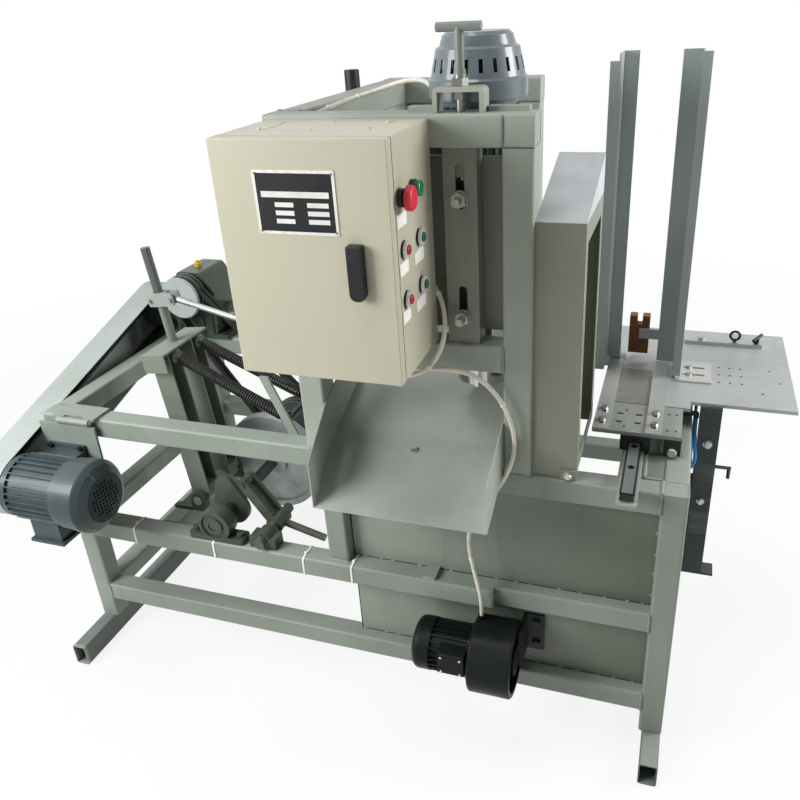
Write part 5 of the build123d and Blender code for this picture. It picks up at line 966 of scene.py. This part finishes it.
cordSet = {
    "spindle_cable": {
        "diameter": 0.009, "finish": "creamJacket", "slot": "cream_cable", "ties": (0.2, 0.52, 0.8),
        "follows": {"start": (230, 10, 1180), "end": (230, 140, 1180), "side": (0.32, 0.85, -0.41)},
        "route": ((234, 145, 1280), (234, 145, 1232), (222, 125, 1186), (205, 90, 1148), (214, 48, 1118),
                  (250, 22, 1092), (284, -3, 1058), (297, -30, 1012), (286, -46, 962), (248, -56, 922),
                  (180, -60, 926), (180, -60, 1003))},
    "gear_motor_cable": {
        "diameter": 0.009, "finish": "creamJacket", "slot": "cream_cable", "ties": (0.3, 0.55, 0.78),
        "route": ((215, -42, 1003), (215, -42, 928), (290, -34, 934), (350, -24, 922), (398, -20, 872),
                  (422, -16, 800), (418, -14, 735), (388, -22, 668), (345, -24, 610), (322, -24, 545),
                  (332, -26, 475), (345, -32, 425), (353, -36, 392), (353, -36, 348))},
    "roof_cable": {
        "diameter": 0.009, "finish": "creamJacket", "slot": "cream_cable", "ties": (0.12, 0.32),
        "follows": {"start": (60, 200, 1390), "end": (222, 200, 1390), "side": (-0.79, -0.19, 0.58)},
        "route": ((23, 55, 1372), (23, 110, 1372), (21, 165, 1375), (26, 215, 1379), (56, 247, 1386),
                  (95, 257, 1398), (132, 250, 1409), (166, 232, 1415), (197, 207, 1416), (223, 182, 1406),
                  (234, 161, 1382), (234, 161, 1346))},
    "air_hose": {
        "diameter": 0.008, "finish": "blueHose", "slot": "blue_hose", "ties": (),
        "route": ((757, 306, 702), (757, 306, 674), (759, 284, 650), (764, 263, 622), (757, 276, 590),
                  (756, 308, 577), (756, 340, 588), (756, 362, 620), (757, 366, 660), (757, 366, 702))},
}


def routeCurve(name, route, thickness):
    # One open NURBS line with the route's points as its control points
    data = bpy.data.curves.new(name, "CURVE")
    data.dimensions = "3D"
    data.resolution_u = 10
    line = data.splines.new("NURBS")
    line.points.add(len(route) - 1)
    spots = np.array([[*mm(*point), 1.0] for point in route])
    line.points.foreach_set("co", spots.ravel())
    line.order_u = 3
    line.use_endpoint_u = True
    data.bevel_depth = thickness / 2
    data.bevel_resolution = 4
    data.use_fill_caps = thickness > 0
    piece = bpy.data.objects.new(name, data)
    scene.collection.objects.link(piece)
    return piece


def routePoints(name, route):
    # Points along the line itself, read from a bare copy of it
    bare = routeCurve(name + "Bare", route, 0.0)
    bpy.context.view_layer.update()
    mesh = bpy.data.meshes.new_from_object(bare.evaluated_get(bpy.context.evaluated_depsgraph_get()))
    points = np.empty(len(mesh.vertices) * 3)
    mesh.vertices.foreach_get("co", points)
    data = bare.data
    bpy.data.objects.remove(bare)
    bpy.data.curves.remove(data)
    bpy.data.meshes.remove(mesh)
    return points.reshape(-1, 3)


bandSet = {"bite": 0.45, "edge": 0.0002, "thick": 0.0012, "half": 0.0024, "flat": 0.002}


def cableTie(points, share, diameter):
    # A narrow band round the cable: a flat section turned about the line's own direction
    index = int(share * (len(points) - 2)) + 1
    half, flat = bandSet["half"], bandSet["flat"]
    inner = bandSet["bite"] * diameter
    edge, outer = diameter / 2 + bandSet["edge"], diameter / 2 + bandSet["thick"]
    return turned(points[index], points[index + 1] - points[index - 1],
                  [inner, edge, outer, outer, edge, inner], [-half, -half, -flat, flat, half, half])


def movingTube(name, setting, points):
    # A round section carried along the line, with one fixed side that the line never runs along
    section = setting["diameter"] / 2 * unitCircle(14)
    tube = carried(points, section, setting["follows"]["side"])
    return loftPiece(name, [tube], setting["finish"], setting["slot"], None, sharp=80)


def restingCurve(name, setting):
    piece = routeCurve(name, setting["route"], setting["diameter"])
    piece.data.materials.append(finishes[setting["finish"]])
    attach(piece, "machine")
    return piece


def addCords():
    for name, setting in cordSet.items():
        points = routePoints(name, setting["route"])
        moving = setting.get("follows")  # the cables that go to the spindle motor
        line = name + "Line"
        piece = movingTube(line, setting, points) if moving else restingCurve(line, setting)
        ties = []
        if setting["ties"]:
            bands = [cableTie(points, share, setting["diameter"]) for share in setting["ties"]]
            ties.append(loftPiece(name + "Ties", bands, "whiteTie", "plate", None if moving else "machine"))
        if moving:
            for part in (piece, *ties):
                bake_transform(part)
        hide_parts(name)


addCords()

# Each drive gives its two pulleys as middles and radii in its own plane, and the place of that plane
beltSet = {
    "width": 0.0124, "depth": 0.009, "taper": 0.62, "shoulder": 0.0016, "arch": 0.0002, "back": 0.9,
    "pitch": 0.018, "arcPoints": 40, "runPoints": 28,
    "motor": {"x": -0.7945, "pulleys": ((frontY - 0.105, 0.556), 0.045, (frontY + 0.560, 0.753), 0.055),
              "start": (frontY - 0.055, 0.571), "end": (frontY + 0.500, 0.735)},
    "cam": {"y": frontY + 0.472, "pulleys": ((-0.634, 0.833), 0.060, (-0.316, 0.440), 0.100)},
}


def beltPath(pulleys, across, along, base):
    # Loop round two circles: the arc on each and the straight tangents between, in the plane of two axes
    first, firstRadius, second, secondRadius = pulleys
    arc, run = beltSet["arcPoints"], beltSet["runPoints"]
    gap = np.subtract(second, first)
    heading = np.arctan2(gap[1], gap[0])
    tilt = np.arccos((firstRadius - secondRadius) / np.linalg.norm(gap))
    farTurn = np.linspace(heading - tilt, heading + tilt, arc)
    nearTurn = np.linspace(heading + tilt, heading - tilt + 2 * np.pi, arc)
    turn = np.concatenate([farTurn, np.full(run, farTurn[-1]), nearTurn, np.full(run, farTurn[0])])
    way = np.stack([np.cos(turn), np.sin(turn)], -1)
    far = second + secondRadius * way[:arc]
    near = first + firstRadius * way[arc + run:2 * arc + run]
    share = np.linspace(0, 1, run + 2)[1:-1, None]
    upRun = far[-1] + share * (near[0] - far[-1])
    downRun = near[-1] + share * (far[0] - near[-1])
    flat = np.concatenate([far, upRun, near, downRun])
    plane = np.array([across, along])
    return base + flat @ plane, way @ plane


def beltSection():
    # V section seen along the belt: narrow inside, a slightly arched back outside
    wide, deep = beltSet["width"] / 2, beltSet["depth"]
    narrow, back = beltSet["taper"] * wide, beltSet["back"] * wide
    shoulder, arch = -beltSet["shoulder"], -beltSet["arch"]
    return [[-narrow, -deep], [narrow, -deep], [wide, shoulder], [back, arch], [0.0, 0.0],
            [-back, arch], [-wide, shoulder]]


def addBelt(name, pulleys, across, along, base, body):
    path, way = beltPath(pulleys, across, along, base)
    return loftPiece(name, [carried(path, beltSection(), way, True)], "beltRubber", "belt_rubber", body,
                     closed=True, sharp=30)


def addBelts():
    alongX, alongY, alongZ = np.eye(3)
    motor, cam = beltSet["motor"], beltSet["cam"]
    shifts = {"1": -beltSet["pitch"] / 2, "2": beltSet["pitch"] / 2}
    for number, shift in shifts.items():
        x = motor["x"] + shift
        piece = addBelt("motorBelt" + number, motor["pulleys"], alongY, alongZ, x * alongX, None)
        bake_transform(piece)
    for number, shift in shifts.items():
        addBelt("camBelt" + number, cam["pulleys"], alongX, alongZ, (cam["y"] + shift) * alongY, "machine")
    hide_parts("v_belts")


addBelts()
print("belts run")

lightSet = {
    "sky": 0.13,
    "sun": {"strength": 1.4, "angle": 24.0, "from": (-0.20, -0.10, 0.97)},
    "aim": (0.0, 0.0, 0.8),
    "softboxes": {
        "leftSoftbox": {"watts": 60.0, "size": 1.2, "place": (-1.45, -1.6, 1.75)},
        "rightSoftbox": {"watts": 86.0, "size": 1.2, "place": (3.0, 0.55, 2.0)},
    },
}
floorSet = {"reach": 30.0, "z": -0.0006, "color": (214, 214, 213), "rough": 0.9,
            "glow": (0.86, 1.0), "from": 1.1, "to": 3.6}  # share of plain white near by and far out
white = (1.0, 1.0, 1.0, 1.0)


def addLight(name, kind, energy, source, place=(0.0, 0.0, 0.0)):
    # A light shines down its own Z axis, which is laid on the way it comes from
    data = bpy.data.lights.new(name, kind)
    data.energy = energy
    light = bpy.data.objects.new(name, data)
    light.matrix_world = Matrix.Translation(place) @ Matrix(axisFrame(source)).transposed().to_4x4()
    scene.collection.objects.link(light)
    return data


def addLights():
    sun = lightSet["sun"]
    addLight("keySun", "SUN", sun["strength"], sun["from"]).angle = np.radians(sun["angle"])
    for name, setting in lightSet["softboxes"].items():
        source = np.subtract(setting["place"], lightSet["aim"])
        addLight(name, "AREA", setting["watts"], source, setting["place"]).size = setting["size"]


def addSky():
    # White surroundings: rays to the camera, in gloss and through glass see plain white
    world = bpy.data.worlds.new("studioWorld")
    scene.world = world
    world.use_nodes = True
    tree = world.node_tree
    seen = tree.nodes.new("ShaderNodeLightPath").outputs
    plain = calc(tree, "MAXIMUM", seen["Is Camera Ray"], seen["Is Transmission Ray"])
    plain = calc(tree, "MAXIMUM", plain, seen["Is Glossy Ray"])
    strength = mixValue(tree, plain, lightSet["sky"], 1.0)
    feed(tree, tree.nodes["Background"].inputs, {"Color": white, "Strength": strength})


def floorFinish():
    # Pale and matt, with a share of plain white that grows with the distance from the middle
    material = bpy.data.materials.new("floorWhite")
    material.use_nodes = True
    tree = material.node_tree
    surface = tree.nodes["Principled BSDF"]
    feed(tree, surface.inputs, {"Base Color": tint(floorSet["color"]), "Roughness": floorSet["rough"]})
    seen = tree.nodes.new("ShaderNodeLightPath").outputs
    plain = calc(tree, "MAXIMUM", seen["Is Camera Ray"], seen["Is Glossy Ray"])
    glow = wire(tree, "ShaderNodeEmission", {"Color": white, "Strength": 1.0})
    away = wire(tree, "ShaderNodeVectorMath", {0: objectPoint(tree)}, operation="LENGTH").outputs["Value"]
    near = remap(tree, away, *floorSet["glow"], floorSet["from"], floorSet["to"])
    share = calc(tree, "MULTIPLY", plain, near)
    both = wire(tree, "ShaderNodeMixShader", {0: share, 1: surface.outputs[0], 2: glow.outputs[0]})
    tree.links.new(both.outputs[0], tree.nodes["Material Output"].inputs["Surface"])
    return material


def addFloor():
    # A flat grid: both parameters run straight out from the middle
    spread = np.linspace(-floorSet["reach"], floorSet["reach"], 3)
    points = np.stack([*np.meshgrid(spread, spread), np.full((3, 3), floorSet["z"])], -1).reshape(-1, 3)
    corner = np.array([0, 1, 3, 4])
    faces = np.stack([corner, corner + 1, corner + 4, corner + 3], -1)
    mesh = bpy.data.meshes.new("studioFloor")
    mesh.from_pydata(points.tolist(), [], faces.tolist())
    mesh.materials.append(floorFinish())
    floor = bpy.data.objects.new("studioFloor", mesh)
    scene.collection.objects.link(floor)


addSky()
addLights()
addFloor()
print("stage lit")
